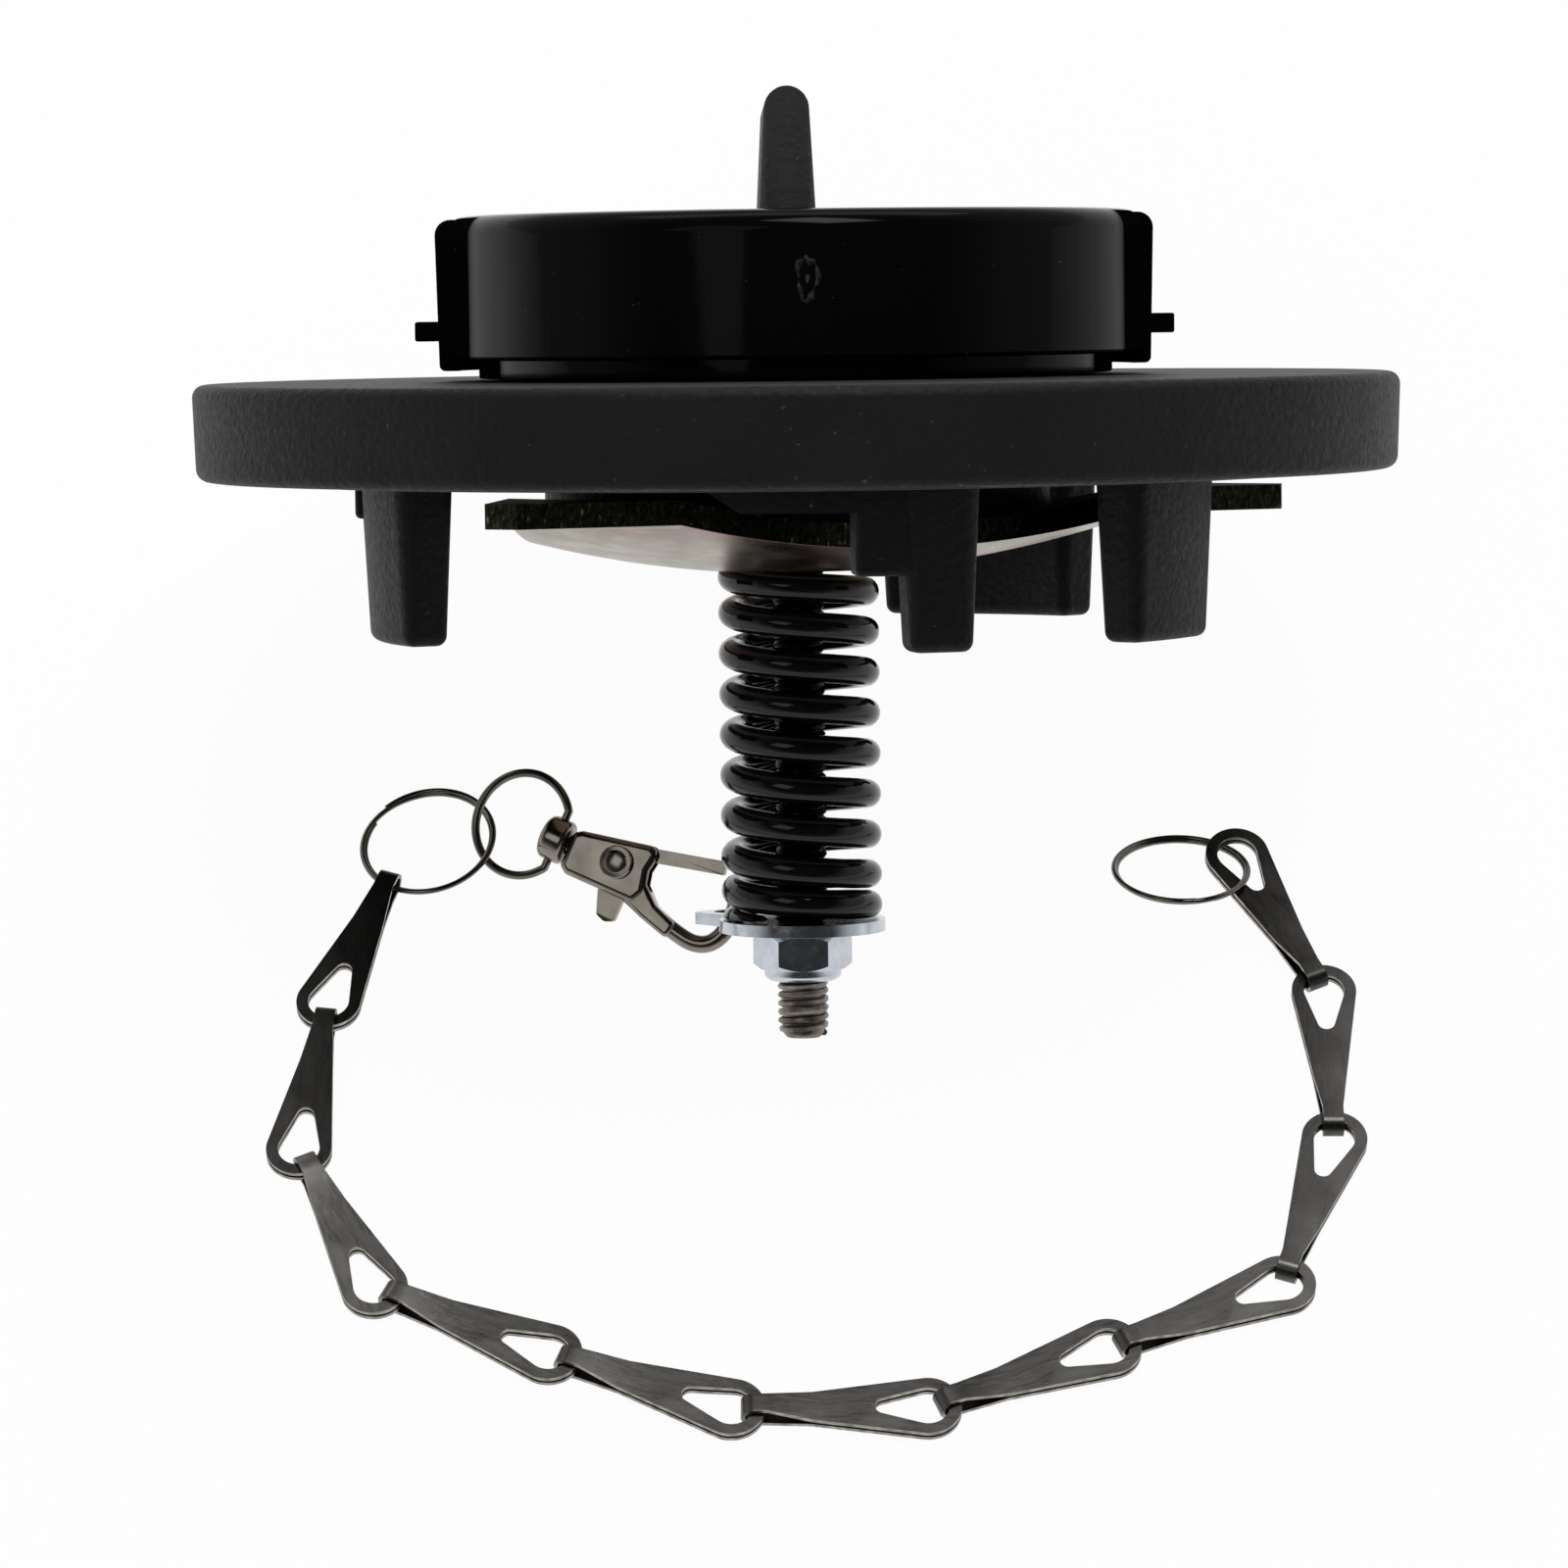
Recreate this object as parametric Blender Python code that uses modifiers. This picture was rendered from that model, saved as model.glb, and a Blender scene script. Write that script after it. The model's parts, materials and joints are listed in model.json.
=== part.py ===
"""Lockable tank filler cap with a spring-loaded lock plate and a retaining chain.

The cap lies on its side as it does on a bench: the rim of the lid and the tip of
the stud touch the table (z = 0), and the chain lies in a loop in front of it.
"""
import math

import bmesh
import bpy
from mathutils import Matrix, Vector

MM = 0.001
GAP = 0.3 * MM
ROUND_STEPS = 48
BORE_STEPS = 24
SMALL_STEPS = 16
WELD = 0.002 * MM

# Lid: z is measured along the cap's axis from the bottom of the rim
LID_RADIUS = 70.0 * MM
LID_HEIGHT = 11.1 * MM
LID_DRAFT = 0.4 * MM
LID_EDGE = 0.8 * MM
LID_SKIN = 6.0 * MM
LID_RIM_WALL = 3.6 * MM
LID_STEPS = 60
RIM_POCKET = 3.4 * MM
SEAT_LAND = 2.1 * MM
SEAT_LIP = 0.8 * MM
HUB_RADIUS = 29.3 * MM
SPIGOT_RADIUS = 16.0 * MM
SPIGOT_HEIGHT = 4.0 * MM

# Gasket in its groove under the lid
GASKET_WIDTH = 8.3 * MM
GASKET_THICKNESS = 1.8 * MM
GASKET_PROUD = 0.4 * MM

# Legs of the lid, by angle from +X seen from above the knob
LEG_INSET = 2.0 * MM
LEG_THICKNESS = 6.2 * MM
LEG_DROP = 18.6 * MM
LEG_CORNER = 0.9 * MM
LEG_ROOT = 1.0 * MM
LEGS_DEG = ((-77.0, -67.2), (-40.2, -20.6), (180.4, 207.2), (43.8, 76.0))
PAD_DEG = (-83.5, -70.0)
PAD_DROP = 10.1 * MM
PAD_PROUD = 0.4 * MM
SKIRT_DEG = (-103.0, -80.8)
SKIRT_DROP = 3.1 * MM
SKIRT_SET_BACK = 0.4 * MM

# Lock plate: a triangle with rounded-off tips, a pressed dome and a seat for the spring in it
PLATE_THICKNESS = 2.8 * MM
PLATE_DROP = 1.8 * MM
PLATE_LEG_ROOM = 14.0 * MM
PLATE_TIP_REACH = 6.0 * MM
PLATE_TURN_DEG = -6.0
DOME_RADIUS = 41.0 * MM
DOME_CURVATURE = 120.0 * MM
DOME_RINGS = 6
SPRING_SEAT_DEPTH = 1.7 * MM
SPRING_SEAT_ROOM = 0.6 * MM
PLATE_BORE_CLEARANCE = 0.6 * MM

# Stud, spring, washer and nut
STUD_RADIUS = 3.0 * MM
STUD_DROP = 66.0 * MM
STUD_TIP_CHAMFER = 0.8 * MM
HEX_FLATS = 10.0 * MM
STUD_HEAD_HEIGHT = 4.0 * MM
SPRING_OUTER = 9.4 * MM
SPRING_WIRE = 3.2 * MM
SPRING_LENGTH = 41.5 * MM
SPRING_PITCH = 4.95 * MM
SPRING_END_PITCH = 3.8 * MM
SPRING_END_TURNS = 0.6
SPRING_START_DEG = 175.0
SPRING_POINTS_PER_TURN = 9
WASHER_RADIUS = 9.7 * MM
WASHER_THICKNESS = 1.4 * MM
TAB_DEG = 130.0
TAB_REACH = 16.0 * MM
TAB_HALF_WIDTH = 3.6 * MM
TAB_CORNER = 0.8 * MM
TAB_HOLE_AT = 12.9 * MM
TAB_HOLE_RADIUS = 2.0 * MM
NUT_HEX_HEIGHT = 4.1 * MM
NUT_COLLAR_HEIGHT = 1.4 * MM
NUT_COLLAR_RADIUS = 4.5 * MM
NUT_COLLAR_END = 3.8 * MM

# Knob: foot ring, lock housing, glossy front cover, rear cover and grip
KNOB_FOOT_SET_IN = 1.6 * MM
KNOB_FOOT_HEIGHT = 2.4 * MM
RETAINER_RADIUS = 20.0 * MM
RETAINER_THICKNESS = 1.5 * MM
HOUSING_RADIUS = 38.3 * MM
HOUSING_WALL = 2.5 * MM
HOUSING_HEIGHT = 13.2 * MM
HOUSING_TOP = 3.0 * MM
COVER_WALL = 1.8 * MM
COVER_TOP = 2.0 * MM
COVER_FILLET = 4.0 * MM
COVER_STEPS = 56
FRONT_COVER_TOP = 30.1 * MM
FRONT_COVER_FOOT = 13.8 * MM
REAR_COVER_TOP = 29.8 * MM
REAR_COVER_FOOT = 12.3 * MM
REAR_COVER_FLARE = 1.3 * MM
PEG_RADIUS = 1.15 * MM
PEG_REACH = 2.5 * MM
PEG_HEIGHT = 16.9 * MM
PEG_BEHIND = 3.0 * MM
FIN_OFFSET = -1.0 * MM
FIN_HALF_LENGTH = 24.0 * MM
FIN_BASE = 6.6 * MM
FIN_TIP = 5.1 * MM
FIN_TOP = 44.0 * MM
PLUG_RADIUS = 6.0 * MM
PLUG_LENGTH = 7.6 * MM
PLUG_TO_WALL = 11.04 * MM
PLUG_DEG = 43.363
KEYWAY = (1.1 * MM, 7.0 * MM, 4.0 * MM)
TONGUE_LENGTH = 10.0 * MM
TONGUE_WIDTH = 5.0 * MM
TONGUE_THICKNESS = 2.2 * MM

# Clasp, in its own frame: x runs to the hook, y across its face, z out of its face
CLASP_HEADING_DEG = -27.1
CLASP_PITCH_DEG = 4.0
CLASP_ROLL_DEG = 37.6
CLASP_THICKNESS = 3.3 * MM
CLASP_SLIT = 1.6 * MM
HOOK_WIRE = 1.05 * MM
HOOK_PATH = ((-11.8, -2.5), (-9.0, -3.4), (-5.2, -4.4), (-2.9, -4.6), (-1.2, -3.9),
             (-0.2, -2.4), (0.1, -0.6), (0.0, 1.2), (-0.5, 2.6), (-1.1, 3.4))
CLASP_BODY = ((-21.6, -2.6), (-20.6, -3.3), (-11.5, -3.3), (-10.6, -1.6), (-11.2, 1.0),
              (-10.8, 3.4), (-12.0, 4.0), (-20.6, 2.3), (-21.6, 1.7))
RIVET_AT = (-15.1 * MM, 0.5 * MM)
RIVET_RADIUS = 1.1 * MM
RIVET_HEAD_RADIUS = 2.0 * MM
RIVET_HEAD_FLAT = 1.4 * MM
RIVET_HEAD_HEIGHT = 0.7 * MM
GATE_THICKNESS = 1.0 * MM
GATE_OUTLINE = ((-17.3, 0.2), (-16.4, -3.0), (-15.2, -6.2), (-14.0, -6.6), (-12.9, -6.1),
                (-12.9, -3.0), (-13.2, -0.6), (-12.4, 1.9), (-2.7, 4.2), (-3.1, 5.8),
                (-12.6, 3.6), (-16.3, 2.6))
GATE_ROOM = ((-18.0, -8.0), (-12.4, -8.0), (-12.4, -1.1), (-8.0, -1.1), (-8.0, 8.0),
             (-18.0, 8.0))
BARREL_RADIUS = 2.7 * MM
BARREL_LENGTH = 3.2 * MM
BARREL_WALL = 0.7 * MM
NECK_RADIUS = 0.9 * MM
NECK_ROOT = 2.0 * MM
NECK_HEAD_RADIUS = 1.5 * MM
NECK_HEAD_LENGTH = 1.0 * MM
BAIL_RADIUS = 6.2 * MM
BAIL_WIRE = 0.45 * MM
BAIL_CENTRE_BACK = 5.0 * MM
BAIL_TURN_DEG = -10.5

# Place on the table
CAP_HEADING_DEG = 1.0

# Chain on the table
RING_RADIUS = 7.85 * MM
RING_WIRE = 0.45 * MM
LINK_LENGTH = 24.7 * MM
LINK_SHEET = 0.5 * MM
LINK_PLY_GAP = 0.3 * MM
LINK_PLIES_MEET_AT = 8.0 * MM
LINK_WIDE_RADIUS = 3.8 * MM
LINK_FOLD_HALF_WIDTH = 1.2 * MM
SLOT_RADIUS = 2.4 * MM
SLOT_NARROW_RADIUS = 1.0 * MM
SLOT_LENGTH = 8.3 * MM
LINK_HEADINGS_DEG = (-108.7, -96.3, -64.2, -24.6, -20.1, 0.3, 21.8, 23.8, 71.2, 90.0, 115.4)
LINK_END_PITCH_DEG = 4.0
RING_NEAR_OFFSET = (-11.4 * MM, -0.1 * MM)
RING_NEAR_RISE = 2.15 * MM
RING_NEAR_TILT_DEG = 8.2
RING_NEAR_TILT_HEADING_DEG = -4.0
RING_NEAR_LINK_DEG = -127.0
RING_NEAR_SLACK = 0.5 * MM
RING_END_OFFSET = (0.73 * MM, 7.22 * MM)
RING_END_RISE = 3.4 * MM
RING_END_TILT_DEG = 21.5
RING_STEPS = 28

# Sizes that follow from the ones above
STACK_HALF = LINK_SHEET + LINK_PLY_GAP / 2
FOLD_INNER = STACK_HALF + GAP
FOLD_OUTER = FOLD_INNER + LINK_SHEET
LINK_EYE_AT = LINK_LENGTH - LINK_WIDE_RADIUS
FOLD_DEPTH = FOLD_INNER - math.sqrt(FOLD_INNER ** 2 - STACK_HALF ** 2)
FOLD_REACH = math.sqrt(SLOT_RADIUS ** 2 - LINK_FOLD_HALF_WIDTH ** 2)
FOLD_IN_SLOT = FOLD_REACH - FOLD_DEPTH - GAP - LINK_SHEET
FOLD_ON_RING = -(RING_WIRE + GAP + RING_NEAR_SLACK + LINK_SHEET)
STUD_BORE = STUD_RADIUS + GAP
RIM_RADIUS = LID_RADIUS - LID_DRAFT
SEAT_OUTER = RIM_RADIUS - LID_RIM_WALL - RIM_POCKET
GASKET_OUTER = SEAT_OUTER - SEAT_LAND
GASKET_INNER = GASKET_OUTER - GASKET_WIDTH
LEG_OUTER = GASKET_INNER - LEG_INSET
LEG_INNER = LEG_OUTER - LEG_THICKNESS
SEAT_INNER = LEG_INNER - SEAT_LIP
SPIGOT_TOP = LID_HEIGHT + SPIGOT_HEIGHT
KNOB_FLOOR = LID_HEIGHT + GAP
HOUSING_FOOT = KNOB_FLOOR + KNOB_FOOT_HEIGHT + GAP
HOUSING_LID = HOUSING_FOOT + HOUSING_HEIGHT
RETAINER_FLOOR = SPIGOT_TOP + GAP
HEAD_FLOOR = RETAINER_FLOOR + RETAINER_THICKNESS + GAP
COVER_RADIUS = HOUSING_RADIUS + GAP + COVER_WALL
KNOB_FOOT_RADIUS = HOUSING_RADIUS - KNOB_FOOT_SET_IN
PEG_END = COVER_RADIUS + REAR_COVER_FLARE + PEG_REACH
PLUG_OUT = HOUSING_RADIUS - HOUSING_WALL - PLUG_TO_WALL
PLUG_AT = (PLUG_OUT * math.cos(math.radians(PLUG_DEG)), PLUG_OUT * math.sin(math.radians(PLUG_DEG)))
PLATE_INRADIUS = LEG_INNER - PLATE_LEG_ROOM
PLATE_TIP_RADIUS = LEG_OUTER + PLATE_TIP_REACH
PLATE_TOP = -PLATE_DROP
DOME_DEPTH = DOME_RADIUS ** 2 / (2 * DOME_CURVATURE)
DOME_BOTTOM = PLATE_TOP - PLATE_THICKNESS - DOME_DEPTH
HUB_BOTTOM = PLATE_TOP - (DOME_RADIUS ** 2 - HUB_RADIUS ** 2) / (2 * DOME_CURVATURE) + GAP
SPRING_SEAT_RADIUS = SPRING_OUTER + SPRING_SEAT_ROOM
SPRING_TOP = DOME_BOTTOM + SPRING_SEAT_DEPTH - GAP
WASHER_TOP = SPRING_TOP - SPRING_LENGTH - GAP
WASHER_BOTTOM = WASHER_TOP - WASHER_THICKNESS
NUT_TOP = WASHER_BOTTOM - GAP

PARTS = bpy.data.collections.new("filler_cap")
CUTTERS = bpy.data.collections.new("filler_cap_cutters")


def clear_scene():
    for obj in list(bpy.data.objects):
        bpy.data.objects.remove(obj, do_unlink=True)
    for collection in (PARTS, CUTTERS):
        bpy.context.scene.collection.children.link(collection)


def finish_material(name, colour, roughness, metallic):
    material = bpy.data.materials.new(name)
    material.use_nodes = True
    shader = material.node_tree.nodes["Principled BSDF"]
    shader.inputs["Base Color"].default_value = (*colour, 1.0)
    shader.inputs["Roughness"].default_value = roughness
    shader.inputs["Metallic"].default_value = metallic
    return material


def pivot(name, matrix, parent=None):
    empty = bpy.data.objects.new(name, None)
    empty.empty_display_size = 4 * MM
    PARTS.objects.link(empty)
    empty.parent = parent
    empty.matrix_basis = matrix
    return empty


def place(name, mesh, material, parent, location=(0, 0, 0)):
    obj = bpy.data.objects.new(name, mesh)
    PARTS.objects.link(obj)
    obj.parent = parent
    obj.location = location
    mesh.materials.clear()
    mesh.materials.append(material)
    mesh.shade_smooth()
    mesh.set_sharp_from_angle(angle=math.radians(35))
    return obj


def evaluated(obj):
    """The object's finished mesh, welded, with its faces pointing out; the object goes."""
    graph = bpy.context.evaluated_depsgraph_get()
    mesh = bpy.data.meshes.new_from_object(obj.evaluated_get(graph), depsgraph=graph)
    mesh.transform(obj.matrix_basis)
    bpy.data.objects.remove(obj, do_unlink=True)
    tidy = bmesh.new()
    tidy.from_mesh(mesh)
    bmesh.ops.remove_doubles(tidy, verts=tidy.verts, dist=WELD)
    bmesh.ops.recalc_face_normals(tidy, faces=tidy.faces)
    tidy.to_mesh(mesh)
    tidy.free()
    return mesh


def helper(name, data):
    obj = bpy.data.objects.new(name, data)
    CUTTERS.objects.link(obj)
    obj.hide_render = True
    obj.display_type = "WIRE"
    return obj


def turned(name, profile, steps, first_deg=0.0):
    """A closed profile of (radius, height) points turned about Z."""
    mesh = bpy.data.meshes.new(name)
    count = len(profile)
    edges = [(i, (i + 1) % count) for i in range(count)]
    mesh.from_pydata([(r, 0.0, z) for r, z in profile], edges, [])
    obj = helper(name, mesh)
    screw = obj.modifiers.new("turn", "SCREW")
    screw.steps = steps
    screw.render_steps = steps
    screw.use_merge_vertices = True
    screw.merge_threshold = WELD / 2
    result = evaluated(obj)
    result.transform(Matrix.Rotation(math.radians(first_deg), 4, "Z"))
    return result


def prism(name, outlines, low, high):
    """Flat outlines, the first the outside and the rest holes, from z = low to z = high."""
    curve = bpy.data.curves.new(name, "CURVE")
    curve.dimensions = "2D"
    curve.fill_mode = "BOTH"
    curve.extrude = (high - low) / 2
    for outline in outlines:
        spline = curve.splines.new("POLY")
        spline.points.add(len(outline) - 1)
        for point, (x, y) in zip(spline.points, outline):
            point.co = (x, y, 0.0, 1.0)
        spline.use_cyclic_u = True
    obj = helper(name, curve)
    obj.matrix_basis = Matrix.Translation((0, 0, (low + high) / 2))
    return evaluated(obj)


def tube(name, points, radius, resolution, cyclic=False):
    curve = bpy.data.curves.new(name, "CURVE")
    curve.dimensions = "3D"
    curve.bevel_depth = radius
    curve.bevel_resolution = resolution
    curve.use_fill_caps = not cyclic
    spline = curve.splines.new("POLY")
    spline.points.add(len(points) - 1)
    for point, place_at in zip(spline.points, points):
        point.co = (*place_at, 1.0)
    spline.use_cyclic_u = cyclic
    return evaluated(helper(name, curve))


def combined(name, mesh, others, operation):
    """The mesh joined with, cut by or limited to each of the other meshes in turn."""
    obj = helper(name, mesh)
    cutters = []
    for i, other in enumerate(others):
        cutter = helper(f"{name}_{operation.lower()}_{i}", other)
        cutters.append(cutter)
        step = obj.modifiers.new(operation.lower(), "BOOLEAN")
        step.operation = operation
        step.solver = "EXACT"
        step.object = cutter
    result = evaluated(obj)
    for cutter in cutters:
        bpy.data.objects.remove(cutter, do_unlink=True)
    return result


def polar(radius, degrees, centre=(0.0, 0.0)):
    angle = math.radians(degrees)
    return (centre[0] + radius * math.cos(angle), centre[1] + radius * math.sin(angle))


def arc(radius, first_deg, last_deg, steps, centre=(0.0, 0.0)):
    turns = [first_deg + (last_deg - first_deg) * i / steps for i in range(steps + 1)]
    return [polar(radius, degrees, centre) for degrees in turns]


def circle(radius, steps, centre=(0.0, 0.0)):
    return arc(radius, 0, 360 - 360 / steps, steps - 1, centre)


def hexagon(flats):
    return circle(flats / math.sqrt(3), 6)


def tapered_slot(wide, narrow, wide_at, narrow_at, steps):
    """A teardrop: two circles on the x axis and their outer tangents."""
    lean = math.degrees(math.asin((wide - narrow) / (wide_at - narrow_at)))
    front = arc(wide, -90 - lean, 90 + lean, steps, (wide_at, 0.0))
    back = arc(narrow, 90 + lean, 270 - lean, steps // 2, (narrow_at, 0.0))
    return front + back


def sector(inner, outer, first_deg, last_deg, corner):
    """A stretch of a ring in plan, with its four corners cut off by a small flat."""
    step = math.degrees(corner / outer)
    steps = max(2, round((last_deg - first_deg) / 6))
    far = arc(outer, first_deg + step, last_deg - step, steps)
    near = arc(inner, last_deg - step, first_deg + step, steps)
    last = [polar(outer - corner, last_deg), polar(inner + corner, last_deg)]
    first = [polar(inner + corner, first_deg), polar(outer - corner, first_deg)]
    return far + last + near + first


def scaled(points):
    return [(x * MM, y * MM) for x, y in points]


def lean_angle():
    """The lean at which the rim of the lid and the tip of the stud touch the table together."""
    flat = math.cos(math.pi / LID_STEPS)
    rim = ((RIM_RADIUS * flat, LID_EDGE), ((RIM_RADIUS - LID_EDGE) * flat, 0.0))
    tip = ((STUD_RADIUS, STUD_TIP_CHAMFER - STUD_DROP),
           (STUD_RADIUS - STUD_TIP_CHAMFER, -STUD_DROP))

    def reach(points, angle):
        return max(r * math.sin(angle) - z * math.cos(angle) for r, z in points)

    low, high = math.radians(20), math.radians(70)
    for _ in range(60):
        middle = (low + high) / 2
        if reach(rim, middle) < reach(tip, middle):
            low = middle
        else:
            high = middle
    return low, reach(rim, low)


def lid_mesh():
    top, edge, pocket = LID_HEIGHT, LID_EDGE, LID_HEIGHT - LID_SKIN
    groove = GASKET_THICKNESS - GASKET_PROUD + GAP
    rim_inner = RIM_RADIUS - LID_RIM_WALL
    outside = [(STUD_BORE, SPIGOT_TOP), (SPIGOT_RADIUS, SPIGOT_TOP), (SPIGOT_RADIUS, top),
               (LID_RADIUS - edge, top), (LID_RADIUS, top - edge), (RIM_RADIUS, edge),
               (RIM_RADIUS - edge, 0), (rim_inner, 0), (rim_inner, pocket)]
    seat = [(SEAT_OUTER, pocket), (SEAT_OUTER, 0), (GASKET_OUTER + GAP, 0),
            (GASKET_OUTER + GAP, groove), (GASKET_INNER - GAP, groove), (GASKET_INNER - GAP, 0),
            (SEAT_INNER, 0), (SEAT_INNER, pocket)]
    hub = [(HUB_RADIUS, pocket), (HUB_RADIUS, HUB_BOTTOM), (STUD_BORE, HUB_BOTTOM)]
    body = turned("lid_body", outside + seat + hub, LID_STEPS, 180 / LID_STEPS)
    legs = [prism("leg", [sector(LEG_INNER, LEG_OUTER, *span, LEG_CORNER)], -LEG_DROP, LEG_ROOT)
            for span in LEGS_DEG]
    pad = sector(LEG_INNER - PAD_PROUD, LEG_OUTER + PAD_PROUD, *PAD_DEG, LEG_CORNER)
    legs.append(prism("pad", [pad], -PAD_DROP, LEG_ROOT + GAP))
    skirt = sector(LEG_INNER + SKIRT_SET_BACK, LEG_OUTER - SKIRT_SET_BACK, *SKIRT_DEG, LEG_CORNER)
    legs.append(prism("skirt", [skirt], -SKIRT_DROP, LEG_ROOT - GAP))
    return combined("lid_with_legs", body, legs, "UNION")


def gasket_mesh():
    low, high = -GASKET_PROUD, GASKET_THICKNESS - GASKET_PROUD
    profile = [(GASKET_INNER, high), (GASKET_OUTER, high), (GASKET_OUTER, low), (GASKET_INNER, low)]
    return turned("gasket", profile, LID_STEPS, 180 / LID_STEPS)


def plate_mesh():
    bore = STUD_RADIUS + PLATE_BORE_CLEARANCE
    seat, foot = SPRING_SEAT_RADIUS, SPRING_SEAT_RADIUS + SPRING_SEAT_DEPTH
    radii = [bore, seat]
    radii += [foot + (DOME_RADIUS - foot) * i / DOME_RINGS for i in range(DOME_RINGS + 1)]
    radii.append(PLATE_TIP_RADIUS)

    def dip(r):
        dome = max(0.0, DOME_RADIUS ** 2 - r ** 2) / (2 * DOME_CURVATURE)
        return dome - max(0.0, min(SPRING_SEAT_DEPTH, foot - r))

    top = [(r, PLATE_TOP - dip(r)) for r in radii]
    bottom = [(r, z - PLATE_THICKNESS) for r, z in reversed(top)]
    dish = turned("plate_dish", top + bottom, ROUND_STEPS)
    corners = circle(2 * PLATE_INRADIUS, 3)
    triangle = prism("plate_triangle", [corners], -PLATE_INRADIUS, PLATE_INRADIUS)
    triangle.transform(Matrix.Rotation(math.radians(PLATE_TURN_DEG), 4, "Z"))
    return combined("plate", dish, [triangle], "INTERSECT")


def stud_mesh():
    in_head = HEAD_FLOOR + STUD_HEAD_HEIGHT / 2
    profile = [(0, in_head), (STUD_RADIUS, in_head), (STUD_RADIUS, STUD_TIP_CHAMFER - STUD_DROP),
               (STUD_RADIUS - STUD_TIP_CHAMFER, -STUD_DROP), (0, -STUD_DROP)]
    shank = turned("stud_shank", profile, BORE_STEPS, 180 / BORE_STEPS)
    head = prism("stud_head", [hexagon(HEX_FLATS)], HEAD_FLOOR, HEAD_FLOOR + STUD_HEAD_HEIGHT)
    return combined("stud", shank, [head], "UNION")


def spring_points():
    """Centre line of a left-hand coil whose end turns lie closer than the rest."""
    centre = SPRING_OUTER - SPRING_WIRE / 2
    rise = SPRING_LENGTH - SPRING_WIRE
    end_rise = SPRING_END_TURNS * SPRING_END_PITCH
    turns = 2 * SPRING_END_TURNS + (rise - 2 * end_rise) / SPRING_PITCH
    count = round(turns * SPRING_POINTS_PER_TURN)
    points = []
    for i in range(count + 1):
        turn = turns * i / count
        close = min(turn, SPRING_END_TURNS) + max(0.0, turn - turns + SPRING_END_TURNS)
        drop = close * SPRING_END_PITCH + (turn - close) * SPRING_PITCH
        angle = math.radians(SPRING_START_DEG) + 2 * math.pi * turn
        points.append((centre * math.cos(angle), centre * math.sin(angle),
                       SPRING_TOP - SPRING_WIRE / 2 - drop))
    return points


def least_coil_gap(points):
    """Least clear distance between turns, read on points at least half a turn apart."""
    apart = SPRING_POINTS_PER_TURN // 2
    line = [Vector(point) for point in points]
    nearest = min((a - b).length for i, a in enumerate(line) for b in line[i + apart:])
    return nearest - SPRING_WIRE


def washer_mesh():
    rounds = [circle(WASHER_RADIUS, ROUND_STEPS), circle(STUD_BORE, BORE_STEPS)]
    disc = prism("washer_disc", rounds, WASHER_BOTTOM, WASHER_TOP)
    side, end, cut = TAB_HALF_WIDTH, TAB_REACH, TAB_CORNER
    root = (WASHER_RADIUS + STUD_BORE) / 2
    outline = [(root, -side), (end - cut, -side), (end, cut - side), (end, side - cut),
               (end - cut, side), (root, side)]
    hole = circle(TAB_HOLE_RADIUS, BORE_STEPS, (TAB_HOLE_AT, 0.0))
    tab = prism("washer_tab", [outline, hole], WASHER_BOTTOM, WASHER_TOP)
    tab.transform(heading(TAB_DEG))
    return combined("washer", disc, [tab], "UNION")


def nut_mesh():
    hex_bottom = NUT_TOP - NUT_HEX_HEIGHT
    in_hex = NUT_TOP - NUT_HEX_HEIGHT / 2
    end = hex_bottom - NUT_COLLAR_HEIGHT
    profile = [(STUD_BORE, in_hex), (NUT_COLLAR_RADIUS, in_hex),
               (NUT_COLLAR_RADIUS, end + NUT_COLLAR_HEIGHT / 2), (NUT_COLLAR_END, end), (STUD_BORE, end)]
    collar = turned("nut_collar", profile, BORE_STEPS)
    outlines = [hexagon(HEX_FLATS), circle(STUD_BORE, BORE_STEPS)]
    body = prism("nut_hex", outlines, hex_bottom, NUT_TOP)
    return combined("nut", body, [collar], "UNION")


def block(name, x_range, y_range, z_range):
    corners = [(x_range[0], y_range[0]), (x_range[1], y_range[0]),
               (x_range[1], y_range[1]), (x_range[0], y_range[1])]
    return prism(name, [corners], *z_range)


def fin_slot(name, y_range):
    half = FIN_BASE / 2 + GAP
    return block(name, (FIN_OFFSET - half, FIN_OFFSET + half), y_range, (HOUSING_LID, FIN_TOP))


def rod(name, radius, start, end):
    """A plain round bar between two points."""
    start, end = Vector(start), Vector(end)
    bar = prism(name, [circle(radius, SMALL_STEPS)], 0.0, (end - start).length)
    turn = (end - start).to_track_quat("Z", "Y").to_matrix().to_4x4()
    bar.transform(Matrix.Translation(start) @ turn)
    return bar


def knob_base_mesh():
    low, high = KNOB_FLOOR, KNOB_FLOOR + KNOB_FOOT_HEIGHT
    bore = SPIGOT_RADIUS + GAP
    profile = [(bore, high), (KNOB_FOOT_RADIUS, high), (KNOB_FOOT_RADIUS, low), (bore, low)]
    return turned("knob_foot", profile, ROUND_STEPS)


def retainer_mesh():
    rounds = [circle(RETAINER_RADIUS, ROUND_STEPS), circle(STUD_BORE, BORE_STEPS)]
    return prism("retainer", rounds, RETAINER_FLOOR, RETAINER_FLOOR + RETAINER_THICKNESS)


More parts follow.
